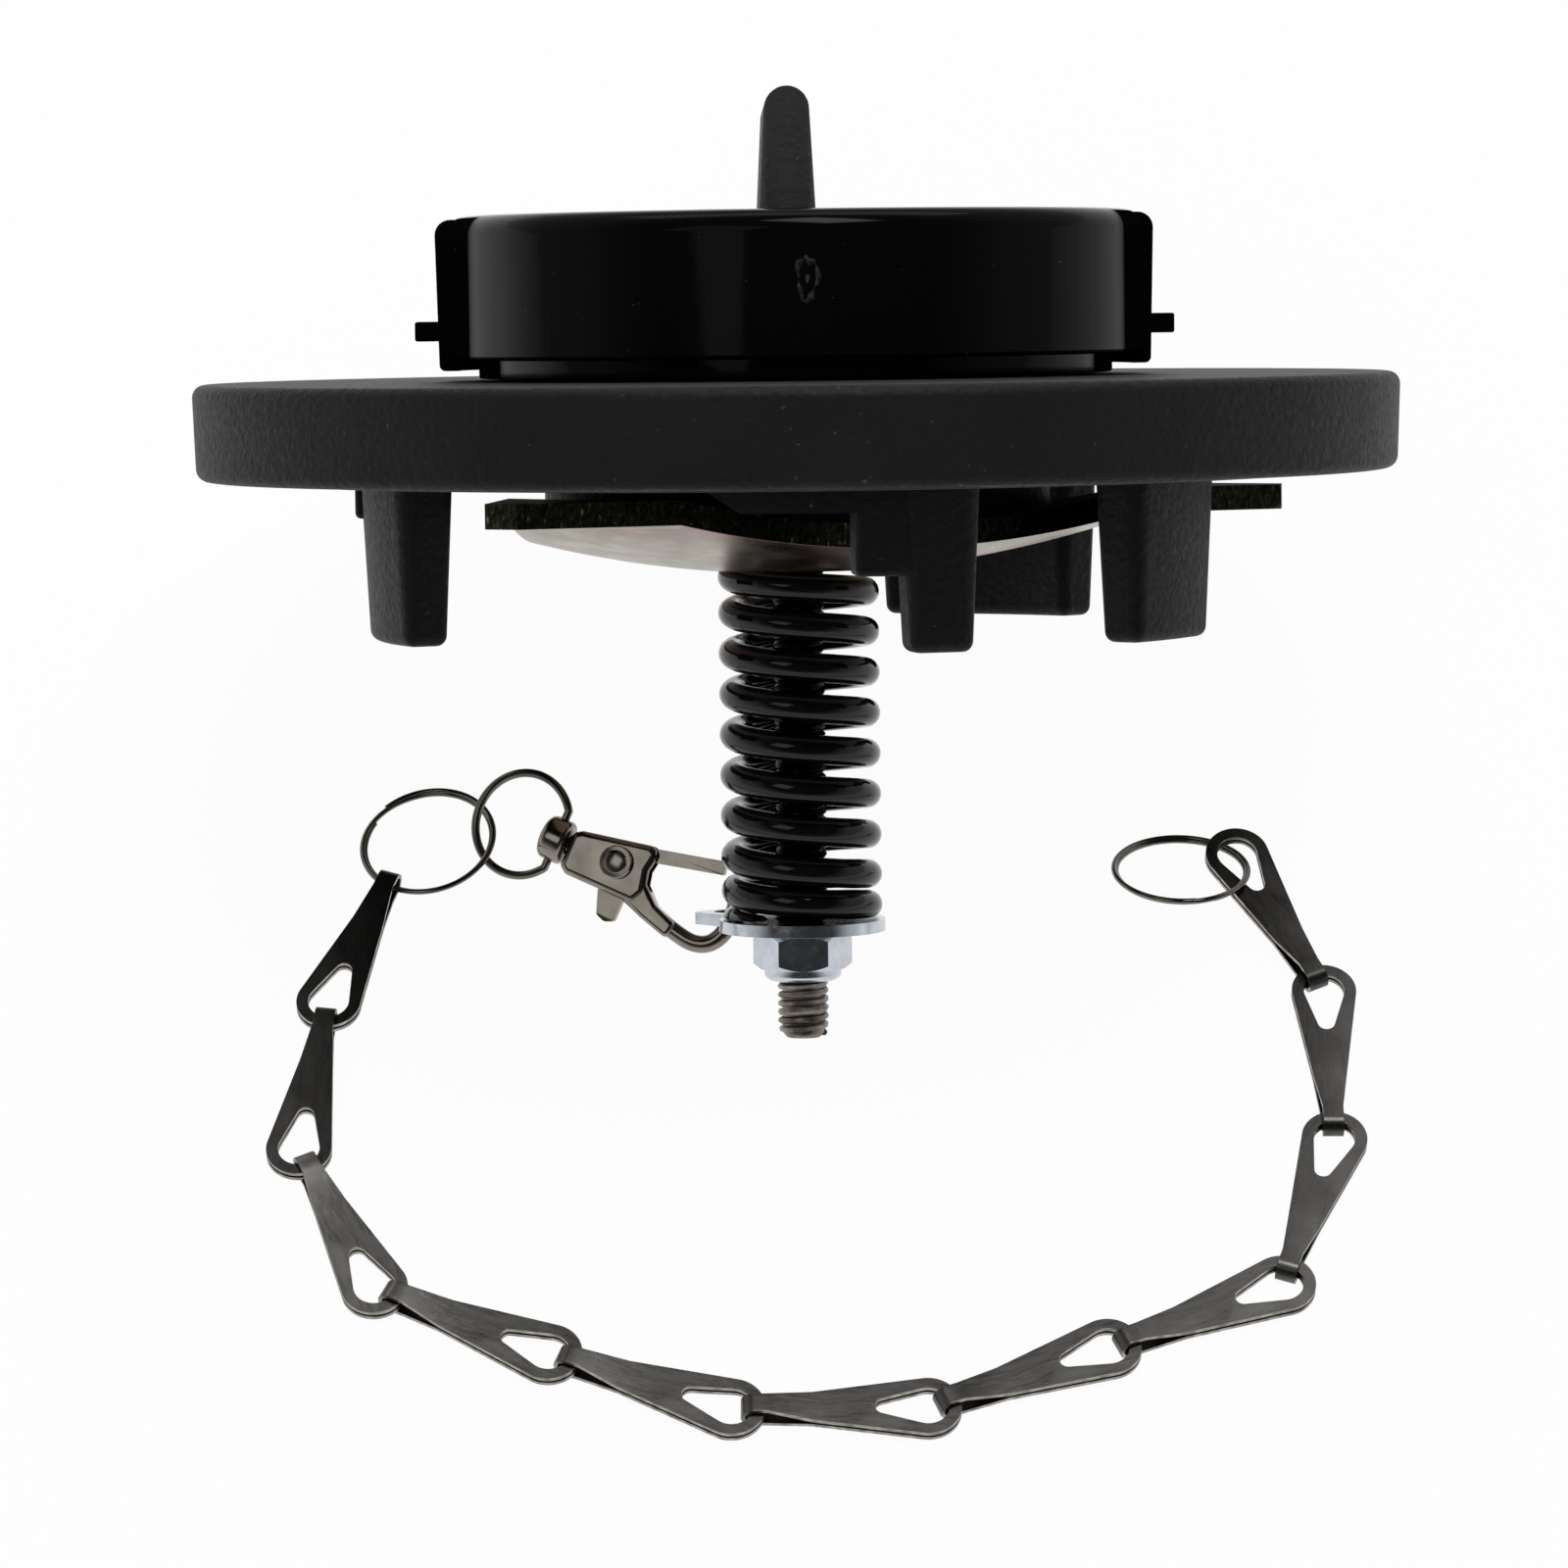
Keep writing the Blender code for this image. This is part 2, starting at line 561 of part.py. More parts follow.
def housing_mesh():
    inner = HOUSING_RADIUS - HOUSING_WALL
    ceiling = HOUSING_LID - HOUSING_TOP
    profile = [(0, HOUSING_LID), (HOUSING_RADIUS, HOUSING_LID), (HOUSING_RADIUS, HOUSING_FOOT),
               (inner, HOUSING_FOOT), (inner, ceiling), (0, ceiling)]
    cup = turned("housing_cup", profile, ROUND_STEPS)
    bore = prism("plug_bore", [circle(PLUG_RADIUS + GAP, BORE_STEPS, PLUG_AT)], HOUSING_FOOT, FIN_TOP)
    return combined("housing", cup, [bore], "DIFFERENCE")


def front_cover_mesh():
    top, outer, inner = FRONT_COVER_TOP, COVER_RADIUS, COVER_RADIUS - COVER_WALL
    ceiling = top - COVER_TOP
    shoulder = arc(COVER_FILLET, 90, 0, 4, (outer - COVER_FILLET, top - COVER_FILLET))
    inside = [(outer, FRONT_COVER_FOOT), (inner, FRONT_COVER_FOOT), (inner, ceiling), (0, ceiling)]
    cup = turned("front_cup", [(0, top)] + shoulder + inside, COVER_STEPS)
    wide = 2 * outer
    rear = block("rear_half", (-wide, wide), (-GAP / 2, wide), (-wide, wide))
    slot = fin_slot("front_slot", (-FIN_HALF_LENGTH - GAP, GAP))
    return combined("front_half", cup, [rear, slot], "DIFFERENCE")


def rear_cover_mesh():
    top, outer = REAR_COVER_TOP, COVER_RADIUS + REAR_COVER_FLARE
    inner = HOUSING_RADIUS + GAP
    ceiling = top - COVER_TOP
    foot_round = COVER_WALL / 3
    shoulder = arc(COVER_WALL, 90, 0, 3, (outer - COVER_WALL, top - COVER_WALL))
    foot = [(COVER_RADIUS, REAR_COVER_FOOT + foot_round),
            (COVER_RADIUS - foot_round, REAR_COVER_FOOT), (inner, REAR_COVER_FOOT)]
    inside = [(outer - COVER_WALL, ceiling), (0, ceiling)]
    cup = turned("rear_cup", [(0, top)] + shoulder + foot + inside, COVER_STEPS)
    pegs = [rod("peg", PEG_RADIUS, (side * (outer - COVER_WALL), PEG_BEHIND, PEG_HEIGHT),
                (side * PEG_END, PEG_BEHIND, PEG_HEIGHT)) for side in (-1, 1)]
    shell = combined("rear_shell", cup, pegs, "UNION")
    wide = 2 * outer
    front = block("front_half_space", (-wide, wide), (-wide, GAP / 2), (-wide, wide))
    slot = fin_slot("rear_slot", (-GAP, FIN_HALF_LENGTH + GAP))
    return combined("rear_half", shell, [front, slot], "DIFFERENCE")


def fin_mesh():
    base, tip = FIN_BASE / 2, FIN_TIP / 2
    low = HOUSING_LID + GAP
    crown = arc(tip, 0, 180, 8, (FIN_OFFSET, FIN_TOP - tip))
    section = [(FIN_OFFSET - base, low), (FIN_OFFSET + base, low)] + crown
    bar = prism("fin_bar", [section], -FIN_HALF_LENGTH, FIN_HALF_LENGTH)
    bar.transform(Matrix.Rotation(math.radians(90), 4, "X"))
    straight = FIN_HALF_LENGTH - base
    plan = arc(base, 0, 180, 8, (FIN_OFFSET, straight))
    plan += arc(base, 180, 360, 8, (FIN_OFFSET, -straight))
    ends = prism("fin_plan", [plan], HOUSING_LID, FIN_TOP + base)
    return combined("fin", bar, [ends], "INTERSECT")


def plug_mesh():
    top = HOUSING_LID + GAP
    plug = prism("plug", [circle(PLUG_RADIUS, BORE_STEPS)], top - PLUG_LENGTH, top)
    width, length, depth = KEYWAY
    keyway = block("keyway", (-width / 2, width / 2), (-length / 2, length / 2),
                   (top - depth, top + depth))
    return combined("plug_cut", plug, [keyway], "DIFFERENCE")


def tongue_mesh():
    high = HOUSING_LID + GAP - PLUG_LENGTH - GAP
    half = TONGUE_WIDTH / 2
    outline = arc(half, 90, 270, 8) + [(TONGUE_LENGTH, -half), (TONGUE_LENGTH, half)]
    return prism("tongue", [outline], high - TONGUE_THICKNESS, high)


def clasp_body_mesh():
    half = CLASP_THICKNESS / 2
    rear = min(x for x, _ in CLASP_BODY) * MM
    hole = circle(RIVET_RADIUS + GAP, SMALL_STEPS, RIVET_AT)
    shell = prism("clasp_shell", [scaled(CLASP_BODY), hole], -half, half)
    slit = prism("clasp_slit", [scaled(GATE_ROOM)], -CLASP_SLIT / 2, CLASP_SLIT / 2)
    cheeks = combined("clasp_cheeks", shell, [slit], "DIFFERENCE")
    hook = tube("clasp_hook", [(x * MM, y * MM, 0.0) for x, y in HOOK_PATH], HOOK_WIRE, 2)
    head_front = rear - 2 * GAP - BARREL_WALL
    head_back = head_front - NECK_HEAD_LENGTH
    neck_end = (head_front + head_back) / 2
    neck = rod("clasp_neck", NECK_RADIUS, (rear + NECK_ROOT, 0, 0), (neck_end, 0, 0))
    head = rod("clasp_neck_head", NECK_HEAD_RADIUS, (head_front, 0, 0), (head_back, 0, 0))
    return combined("clasp", cheeks, [hook, neck, head], "UNION")


def rivet_mesh():
    seat = CLASP_THICKNESS / 2 + GAP
    end = seat + RIVET_HEAD_HEIGHT
    half = [(0, end), (RIVET_HEAD_FLAT, end), (RIVET_HEAD_RADIUS, seat), (RIVET_RADIUS, seat)]
    return turned("rivet", half + [(r, -z) for r, z in reversed(half)], SMALL_STEPS)


def gate_mesh():
    hole = circle(RIVET_RADIUS + GAP, SMALL_STEPS, RIVET_AT)
    return prism("gate", [scaled(GATE_OUTLINE), hole], -GATE_THICKNESS / 2, GATE_THICKNESS / 2)


def barrel_mesh():
    """The swivel barrel about Z, its open end at z = 0 and its closed end below."""
    cavity = NECK_HEAD_RADIUS + GAP
    bore = NECK_RADIUS + GAP
    length, wall, edge = BARREL_LENGTH, BARREL_WALL, BARREL_WALL / 2
    outside = [(bore, 0), (BARREL_RADIUS - edge, 0), (BARREL_RADIUS, -edge),
               (BARREL_RADIUS, edge - length), (BARREL_RADIUS - edge, -length), (0, -length)]
    inside = [(0, wall - length), (cavity, wall - length), (cavity, -wall), (bore, -wall)]
    shell = turned("barrel_shell", outside + inside, BORE_STEPS)
    shell.transform(Matrix.Rotation(math.radians(90), 4, "Y"))
    reach = 2 * BARREL_RADIUS
    hole = rod("bail_hole", BAIL_WIRE + GAP, (-length / 2, -reach, 0), (-length / 2, reach, 0))
    return combined("barrel", shell, [hole], "DIFFERENCE")


def bail_mesh():
    """A round wire bail about its pin axis Y, reaching back along -X."""
    opening = math.degrees(math.acos(BAIL_CENTRE_BACK / BAIL_RADIUS))
    bow = arc(BAIL_RADIUS, opening, 360 - opening, 26, (-BAIL_CENTRE_BACK, 0.0))
    foot = NECK_HEAD_RADIUS + 2 * GAP
    path = [(0.0, foot)] + bow + [(0.0, -foot)]
    return tube("bail", [(x, y, 0.0) for x, y in path], BAIL_WIRE, 1)


def ring_mesh():
    points = [(x, y, 0.0) for x, y in circle(RING_RADIUS, RING_STEPS)]
    return tube("ring", points, RING_WIRE, 1, cyclic=True)


def link_mesh():
    """A strip folded over at its narrow end (x = 0) and pierced by a slot at its wide end."""
    tip_inner = LINK_PLY_GAP / 2
    open_to = LINK_WIDE_RADIUS - FOLD_IN_SLOT + GAP
    outer = arc(FOLD_OUTER, 180, 90, 4, (FOLD_OUTER, 0.0))
    outer += [(open_to, FOLD_OUTER), (LINK_PLIES_MEET_AT, STACK_HALF), (LINK_LENGTH, STACK_HALF)]
    inner = [(LINK_LENGTH, tip_inner), (LINK_PLIES_MEET_AT, tip_inner), (open_to, FOLD_INNER)]
    inner += arc(FOLD_INNER, 90, 180, 4, (FOLD_OUTER, 0.0))
    half = outer + inner
    hairpin = half + [(x, -z) for x, z in reversed(half[1:-1])]
    wide = 2 * LINK_WIDE_RADIUS
    strip = prism("link_strip", [hairpin], -wide, wide)
    strip.transform(Matrix.Rotation(math.radians(90), 4, "X"))
    narrow = LINK_FOLD_HALF_WIDTH
    front = arc(LINK_WIDE_RADIUS, -100, 100, 12, (LINK_EYE_AT, 0.0))
    back = [(open_to, narrow), (-wide, narrow), (-wide, -narrow), (open_to, -narrow)]
    outline = prism("link_outline", [front + back], -wide, wide)
    slot_at = LINK_EYE_AT + SLOT_RADIUS - SLOT_LENGTH + SLOT_NARROW_RADIUS
    teardrop = tapered_slot(SLOT_RADIUS, SLOT_NARROW_RADIUS, LINK_EYE_AT, slot_at, 10)
    slot = prism("link_slot", [teardrop], -wide, wide)
    shaped = combined("link_plan", strip, [outline], "INTERSECT")
    return combined("link_cut", shaped, [slot], "DIFFERENCE")


def heading(degrees):
    return Matrix.Rotation(math.radians(degrees), 4, "Z")


def build_cap(table, paint):
    lean, axis_height = lean_angle()
    frame = Matrix.Translation((0, 0, axis_height)) @ heading(CAP_HEADING_DEG)
    frame = frame @ Matrix.Rotation(-lean, 4, "X")
    cap = pivot("cap_axis", frame, table)
    place("lid", lid_mesh(), paint["lid"], cap)
    place("neck_gasket", gasket_mesh(), paint["rubber"], cap)
    place("stud", stud_mesh(), paint["stud"], cap)
    coil = spring_points()
    place("compression_spring", tube("coil", coil, SPRING_WIRE / 2, 1), paint["spring"], cap)
    print(f"least gap between spring turns: {least_coil_gap(coil) / MM:.2f} mm")
    place("tab_washer", washer_mesh(), paint["zinc"], cap)
    place("lock_nut", nut_mesh(), paint["zinc"], cap)
    place("retaining_washer", retainer_mesh(), paint["zinc"], cap)
    place("lock_plate", plate_mesh(), paint["plate"], cap)
    knob = pivot("knob_axis", Matrix.Identity(4), cap)
    place("knob_base", knob_base_mesh(), paint["gloss"], knob)
    place("lock_housing", housing_mesh(), paint["lid"], knob)
    place("front_cover", front_cover_mesh(), paint["gloss"], knob)
    place("grip_fin", fin_mesh(), paint["lid"], knob)
    place("rear_cover", rear_cover_mesh(), paint["gloss"], knob)
    lock = pivot("lock_axis", Matrix.Translation((*PLUG_AT, 0.0)), knob)
    place("lock_plug", plug_mesh(), paint["brass"], lock)
    place("lock_tongue", tongue_mesh(), paint["zinc"], lock)
    return frame


def build_clasp(table, cap_frame, paint):
    hole = (*polar(TAB_HOLE_AT, TAB_DEG), (WASHER_TOP + WASHER_BOTTOM) / 2)
    frame = Matrix.Translation(cap_frame @ Vector(hole)) @ heading(CLASP_HEADING_DEG)
    frame = frame @ Matrix.Rotation(math.radians(CLASP_PITCH_DEG), 4, "Y")
    frame = frame @ Matrix.Rotation(math.radians(CLASP_ROLL_DEG), 4, "X")
    clasp = pivot("clasp_pivot", frame, table)
    place("clasp_body", clasp_body_mesh(), paint["nickel"], clasp)
    place("clasp_rivet", rivet_mesh(), paint["nickel"], clasp, (*RIVET_AT, 0.0))
    gate = pivot("gate_pivot", frame @ Matrix.Translation((*RIVET_AT, 0.0)), table)
    place("clasp_gate", gate_mesh(), paint["nickel"], gate, (-RIVET_AT[0], -RIVET_AT[1], 0.0))
    barrel_front = min(x for x, _ in CLASP_BODY) * MM - GAP
    swivel_frame = frame @ Matrix.Translation((barrel_front, 0, 0))
    swivel = pivot("swivel_pivot", swivel_frame, table)
    place("swivel_barrel", barrel_mesh(), paint["nickel"], swivel)
    bail_frame = swivel_frame @ Matrix.Translation((-BARREL_LENGTH / 2, 0, 0))
    bail_frame = bail_frame @ Matrix.Rotation(math.radians(BAIL_TURN_DEG), 4, "Y")
    bail = pivot("bail_pivot", bail_frame, table)
    place("swivel_bail", bail_mesh(), paint["nickel"], bail)
    return bail_frame @ Vector((-BAIL_CENTRE_BACK, 0, 0))


def build_chain(table, bail_centre, paint):
    ring = ring_mesh()
    near_at = bail_centre + Vector((*RING_NEAR_OFFSET, 0.0))
    near_at.z = RING_NEAR_RISE
    downhill = heading(RING_NEAR_TILT_HEADING_DEG)
    tilt = downhill @ Matrix.Rotation(-math.radians(RING_NEAR_TILT_DEG), 4, "Y") @ downhill.inverted()
    near = pivot("ring_near_pivot", Matrix.Translation(near_at) @ tilt, table)
    place("split_ring_near", ring, paint["nickel"], near)
    link = link_mesh()
    on_ring = near.matrix_basis @ Vector((*polar(RING_RADIUS, RING_NEAR_LINK_DEG), 0.0))
    at = Vector((on_ring.x, on_ring.y, FOLD_OUTER))
    count = len(LINK_HEADINGS_DEG)
    for i, degrees in enumerate(LINK_HEADINGS_DEG):
        start = FOLD_ON_RING if i == 0 else FOLD_IN_SLOT
        frame = Matrix.Translation(at) @ heading(degrees)
        if i == count - 1:
            frame = frame @ Matrix.Rotation(-math.radians(LINK_END_PITCH_DEG), 4, "Y")
        joint = pivot(f"link_{i + 1:02d}_pivot", frame, table)
        place(f"link_{i + 1:02d}", link, paint["link"], joint, (start, 0, 0))
        eye = frame @ Vector((start + LINK_EYE_AT, 0, 0))
        at = eye.copy()
        at.z = FOLD_OUTER
    side = heading(LINK_HEADINGS_DEG[-1])
    end_at = eye + side @ Vector((*RING_END_OFFSET, 0.0))
    end_at.z = RING_END_RISE
    end_tilt = Matrix.Rotation(-math.radians(RING_END_TILT_DEG), 4, "X")
    end = pivot("ring_end_pivot", Matrix.Translation(end_at) @ end_tilt, table)
    place("split_ring_end", ring, paint["nickel"], end)


def centre_on_footprint(table):
    """Move the whole assembly so that the middle of its footprint is at the origin."""
    bpy.context.view_layer.update()
    solids = [obj for obj in PARTS.objects if obj.type == "MESH"]
    corners = [obj.matrix_world @ vertex.co for obj in solids for vertex in obj.data.vertices]
    low = [min(c[k] for c in corners) for k in range(3)]
    high = [max(c[k] for c in corners) for k in range(3)]
    table.location = (-(low[0] + high[0]) / 2, -(low[1] + high[1]) / 2, 0.0)
    bpy.context.view_layer.update()
    size = [round((b - a) / MM, 2) for a, b in zip(low, high)]
    print("size in mm:", size, "lowest", round(low[2] / MM, 3))


def print_pivots():
    for obj in PARTS.objects:
        if obj.type == "EMPTY":
            matrix = obj.matrix_world
            axes = [[round(c, 5) for c in matrix.to_3x3().col[k]] for k in range(3)]
            print(obj.name, [round(c, 5) for c in matrix.translation], *axes)


def main():
    clear_scene()
    paint = {
        "lid": finish_material("grained_black_plastic", (0.018, 0.018, 0.019), 0.55, 0.0),
        "gloss": finish_material("glossy_black_plastic", (0.008, 0.008, 0.01), 0.12, 0.0),
        "rubber": finish_material("seal_rubber", (0.02, 0.02, 0.02), 0.8, 0.0),
        "stud": finish_material("brown_zinc_stud", (0.25, 0.22, 0.19), 0.45, 1.0),
        "spring": finish_material("black_spring_enamel", (0.006, 0.006, 0.007), 0.15, 0.2),
        "zinc": finish_material("bright_zinc", (0.62, 0.64, 0.66), 0.28, 1.0),
        "plate": finish_material("yellow_zinc", (0.60, 0.55, 0.42), 0.3, 1.0),
        "brass": finish_material("lock_brass", (0.70, 0.55, 0.30), 0.35, 1.0),
        "nickel": finish_material("dark_nickel", (0.35, 0.33, 0.30), 0.22, 1.0),
        "link": finish_material("gunmetal_sheet", (0.10, 0.10, 0.10), 0.35, 1.0),
    }
    table = pivot("table_frame", Matrix.Identity(4))
    cap_frame = build_cap(table, paint)
    bail_centre = build_clasp(table, cap_frame, paint)
    build_chain(table, bail_centre, paint)
    centre_on_footprint(table)
    print_pivots()


main()
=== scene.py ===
import json
import math

import bmesh
import bpy
from mathutils import Matrix, Vector


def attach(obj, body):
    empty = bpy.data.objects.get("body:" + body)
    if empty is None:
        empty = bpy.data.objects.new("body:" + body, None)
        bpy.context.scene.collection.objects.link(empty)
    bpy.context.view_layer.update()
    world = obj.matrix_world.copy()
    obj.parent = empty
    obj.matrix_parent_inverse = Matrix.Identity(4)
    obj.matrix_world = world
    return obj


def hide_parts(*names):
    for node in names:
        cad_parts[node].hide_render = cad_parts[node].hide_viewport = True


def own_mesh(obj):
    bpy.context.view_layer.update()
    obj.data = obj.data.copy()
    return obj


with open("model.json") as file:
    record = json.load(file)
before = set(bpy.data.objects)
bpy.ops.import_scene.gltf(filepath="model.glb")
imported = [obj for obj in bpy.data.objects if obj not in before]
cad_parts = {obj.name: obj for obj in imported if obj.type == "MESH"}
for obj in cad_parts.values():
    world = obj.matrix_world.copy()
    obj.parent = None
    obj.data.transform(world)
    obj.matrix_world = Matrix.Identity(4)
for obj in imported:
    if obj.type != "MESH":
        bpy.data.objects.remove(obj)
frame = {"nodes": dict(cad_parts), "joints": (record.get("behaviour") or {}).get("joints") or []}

mm = 0.001
gap = 0.3  # room between pieces that move, in mm
scene = bpy.context.scene
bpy.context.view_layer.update()  # bring the imported pieces up to date
joints = {joint["name"]: joint for joint in frame["joints"]}


def frameFrom(origin, xAxis, zAxis):
    z = Vector(zAxis).normalized()
    x = Vector(xAxis)
    x = (x - z * x.dot(z)).normalized()
    matrix = Matrix((x, z.cross(x), z)).transposed().to_4x4()
    matrix.translation = Vector(origin)
    return matrix


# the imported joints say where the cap, the clasp and the rings are
capAxis = Vector(joints["knob_turn"]["axis"])
capFrame = frameFrom(joints["knob_turn"]["pos_m"], capAxis.cross((0, 0, 1)), capAxis)
claspFrame = frameFrom(joints["clasp_swing"]["pos_m"], joints["swivel_turn"]["axis"],
                       joints["gate_open"]["axis"])


def moved(x, y=0.0, z=0.0):
    return Matrix.Translation((x * mm, y * mm, z * mm))


def turned(degrees, axis):
    return Matrix.Rotation(math.radians(degrees), 4, axis)


def workObject(name, data):
    obj = bpy.data.objects.new(name, data)
    scene.collection.objects.link(obj)
    return obj


def bakedMesh(obj):
    graph = bpy.context.evaluated_depsgraph_get()
    mesh = bpy.data.meshes.new_from_object(obj.evaluated_get(graph), depsgraph=graph)
    bpy.data.objects.remove(obj, do_unlink=True)
    return mesh


def meshFrom(bm, name):
    bmesh.ops.recalc_face_normals(bm, faces=bm.faces)
    mesh = bpy.data.meshes.new(name)
    bm.to_mesh(mesh)
    bm.free()
    return mesh


def cleaned(mesh):
    weld = 0.0005 * mm
    bm = bmesh.new()
    bm.from_mesh(mesh)
    bmesh.ops.remove_doubles(bm, verts=bm.verts, dist=weld)
    bmesh.ops.dissolve_degenerate(bm, dist=weld, edges=bm.edges)
    bmesh.ops.recalc_face_normals(bm, faces=bm.faces)
    bm.to_mesh(mesh)
    bm.free()
    return mesh


def polar(radius, degrees, centre=(0.0, 0.0)):
    angle = math.radians(degrees)
    return (centre[0] + radius * math.cos(angle), centre[1] + radius * math.sin(angle))


def arcOf(radius, first, last, steps, centre=(0.0, 0.0)):
    return [polar(radius, first + (last - first) * i / steps, centre) for i in range(steps + 1)]


def circleOf(radius, steps, centre=(0.0, 0.0)):
    return arcOf(radius, 0, 360 - 360 / steps, steps - 1, centre)


def addRing(bm, outline, z):
    return [bm.verts.new((x * mm, y * mm, z * mm)) for x, y in outline]


def stitch(bm, rings):
    # faces between neighbouring closed rings of the same count
    count = len(rings[0])
    for a, b in zip(rings, rings[1:]):
        for k in range(count):
            after = (k + 1) % count
            corners = list(dict.fromkeys((a[k], a[after], b[after], b[k])))
            if len(corners) > 2:
                bm.faces.new(corners)


def lathe(name, profile, steps):
    # profile: closed loop of (radius, height) in mm, turned about Z; a point on the axis is one vertex
    bm = bmesh.new()
    rings = [addRing(bm, circleOf(r, steps), z) if r > 0 else addRing(bm, [(0, 0)], z) * steps
             for r, z in profile]
    stitch(bm, rings + rings[:1])
    return meshFrom(bm, name)


def slab(name, outlines, low, high):
    # flat outlines in mm, the first the outside and the rest holes
    curve = bpy.data.curves.new(name, "CURVE")
    curve.dimensions = "2D"
    curve.fill_mode = "BOTH"
    curve.extrude = (high - low) / 2 * mm
    for outline in outlines:
        spline = curve.splines.new("POLY")
        spline.points.add(len(outline) - 1)
        for point, (x, y) in zip(spline.points, outline):
            point.co = (x * mm, y * mm, 0, 1)
        spline.use_cyclic_u = True
    mesh = bakedMesh(workObject(name, curve))
    mesh.transform(moved(0, 0, (low + high) / 2))
    return cleaned(mesh)


def inset(outline, amount):
    # move a counter-clockwise outline inwards along its corners
    points = []
    count = len(outline)
    for i in range(count):
        a, b, c = Vector(outline[i - 1]), Vector(outline[i]), Vector(outline[(i + 1) % count])
        u, v = (b - a).normalized(), (c - b).normalized()
        m, n = Vector((-u.y, u.x)), Vector((-v.y, v.x))
        points.append(tuple(b + (m + n) * amount / (1 + m.dot(n))))
    return points


def loft(name, outline, levels):
    # levels: (height, inset) from the top down
    bm = bmesh.new()
    rings = [addRing(bm, inset(outline, amount), z) for z, amount in levels]
    stitch(bm, rings)
    bm.faces.new(rings[0])
    bm.faces.new(rings[-1][::-1])
    return meshFrom(bm, name)


def roundEnd(low, amount, radius, steps=5):
    # levels that round off the lower end of a loft
    angles = [math.radians(90 * i / steps) for i in range(steps + 1)]
    return [(low + radius * (1 - math.sin(a)), amount + radius * (1 - math.cos(a))) for a in angles]


def roundEnds(half, radius, steps=5):
    # levels of a loft that is rounded off at both ends
    levels = roundEnd(-half, 0.0, radius, steps)
    return [(-z, amount) for z, amount in reversed(levels)] + levels


def bevelled(mesh, width, segments=3, angle=35):
    obj = workObject("edgeWork", mesh)
    bevel = obj.modifiers.new("edge", "BEVEL")
    bevel.width = width * mm
    bevel.segments = segments
    bevel.limit_method = "ANGLE"
    bevel.angle_limit = math.radians(angle)
    bevel.miter_outer = "MITER_ARC"
    return bakedMesh(obj)


def boolean(mesh, others, operation):
    obj = workObject("cutWork", mesh)
    tools = [workObject("cutTool", other) for other in others]
    for tool in tools:
        step = obj.modifiers.new("step", "BOOLEAN")
        step.operation = operation
        step.solver = "EXACT"
        step.object = tool
    result = bakedMesh(obj)
    for tool in tools:
        bpy.data.objects.remove(tool, do_unlink=True)
    return cleaned(result)


def joined(name, meshes):
    bm = bmesh.new()
    for mesh in meshes:
        bm.from_mesh(mesh)
    return meshFrom(bm, name)


def bar(name, radius, start, end, steps=24):
    start, end = Vector(start), Vector(end)
    mesh = slab(name, [circleOf(radius, steps)], 0, (end - start).length)
    mesh.transform(moved(*start) @ (end - start).to_track_quat("Z", "Y").to_matrix().to_4x4())
    return mesh


def box(name, xSpan, ySpan, zSpan):
    corners = [(xSpan[0], ySpan[0]), (xSpan[1], ySpan[0]), (xSpan[1], ySpan[1]), (xSpan[0], ySpan[1])]
    return slab(name, [corners], *zSpan)


def about(middle, width):
    return (middle - width / 2, middle + width / 2)


def fillet(corner, before, after, radius, steps):
    # round one corner of a profile between its two neighbours
    c, a, b = Vector(corner), Vector(before), Vector(after)
    u, v = (a - c).normalized(), (b - c).normalized()
    half = math.acos(max(-1, min(1, u.dot(v)))) / 2
    reach = radius / math.tan(half)
    middle = c + (u + v).normalized() * radius / math.sin(half)
    first, last = c + u * reach - middle, c + v * reach - middle
    turn = math.degrees(math.atan2(first.x * last.y - first.y * last.x, first.dot(last)))
    start = math.degrees(math.atan2(first.y, first.x))
    return arcOf(radius, start, start + turn, steps, middle)


def rounded(profile, radii, steps=5):
    # radii: {number of the corner: radius}, or one radius for all
    if not isinstance(radii, dict):
        radii = dict.fromkeys(range(len(profile)), radii)
    points = []
    for i, corner in enumerate(profile):
        if i in radii:
            points += fillet(corner, profile[i - 1], profile[(i + 1) % len(profile)], radii[i], steps)
        else:
            points.append(corner)
    return points


finishes = {}  # by name, filled below


def putPiece(name, mesh, finish, body, nodes, place=capFrame, smooth=38):
    if place is not None:
        mesh.transform(place)
    if finish is not None:
        mesh.materials.clear()
        mesh.materials.append(finishes[finish])
    mesh.shade_smooth()
    mesh.set_sharp_from_angle(angle=math.radians(smooth))
    raw = workObject(name, mesh)
    even = raw.modifiers.new("even", "WEIGHTED_NORMAL")  # keeps flat faces flat beside their rounded edges
    even.keep_sharp = True
    mesh = bakedMesh(raw)
    mesh.name = name
    obj = workObject(name, mesh)
    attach(obj, body)
    if nodes:
        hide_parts(*nodes)
    return obj


def addNode(tree, kind, inputs=None, **settings):
    node = tree.nodes.new(kind)
    for key, value in settings.items():
        setattr(node, key, value)
    for key, value in (inputs or {}).items():
        if isinstance(value, bpy.types.Node):
            value = value.outputs[0]
        if isinstance(value, bpy.types.NodeSocket):
            tree.links.new(value, node.inputs[key])
        else:
            node.inputs[key].default_value = value
    return node


def colourOf(value):
    # a colour is given as three numbers, or as one for a grey
    return (*value, 1) if isinstance(value, tuple) else (value, value, value, 1)


def noiseOf(place, scale, detail, rough):
    inputs = {"Vector": place, "Scale": scale, "Detail": detail, "Roughness": rough}
    return addNode(place.id_data, "ShaderNodeTexNoise", inputs).outputs["Fac"]


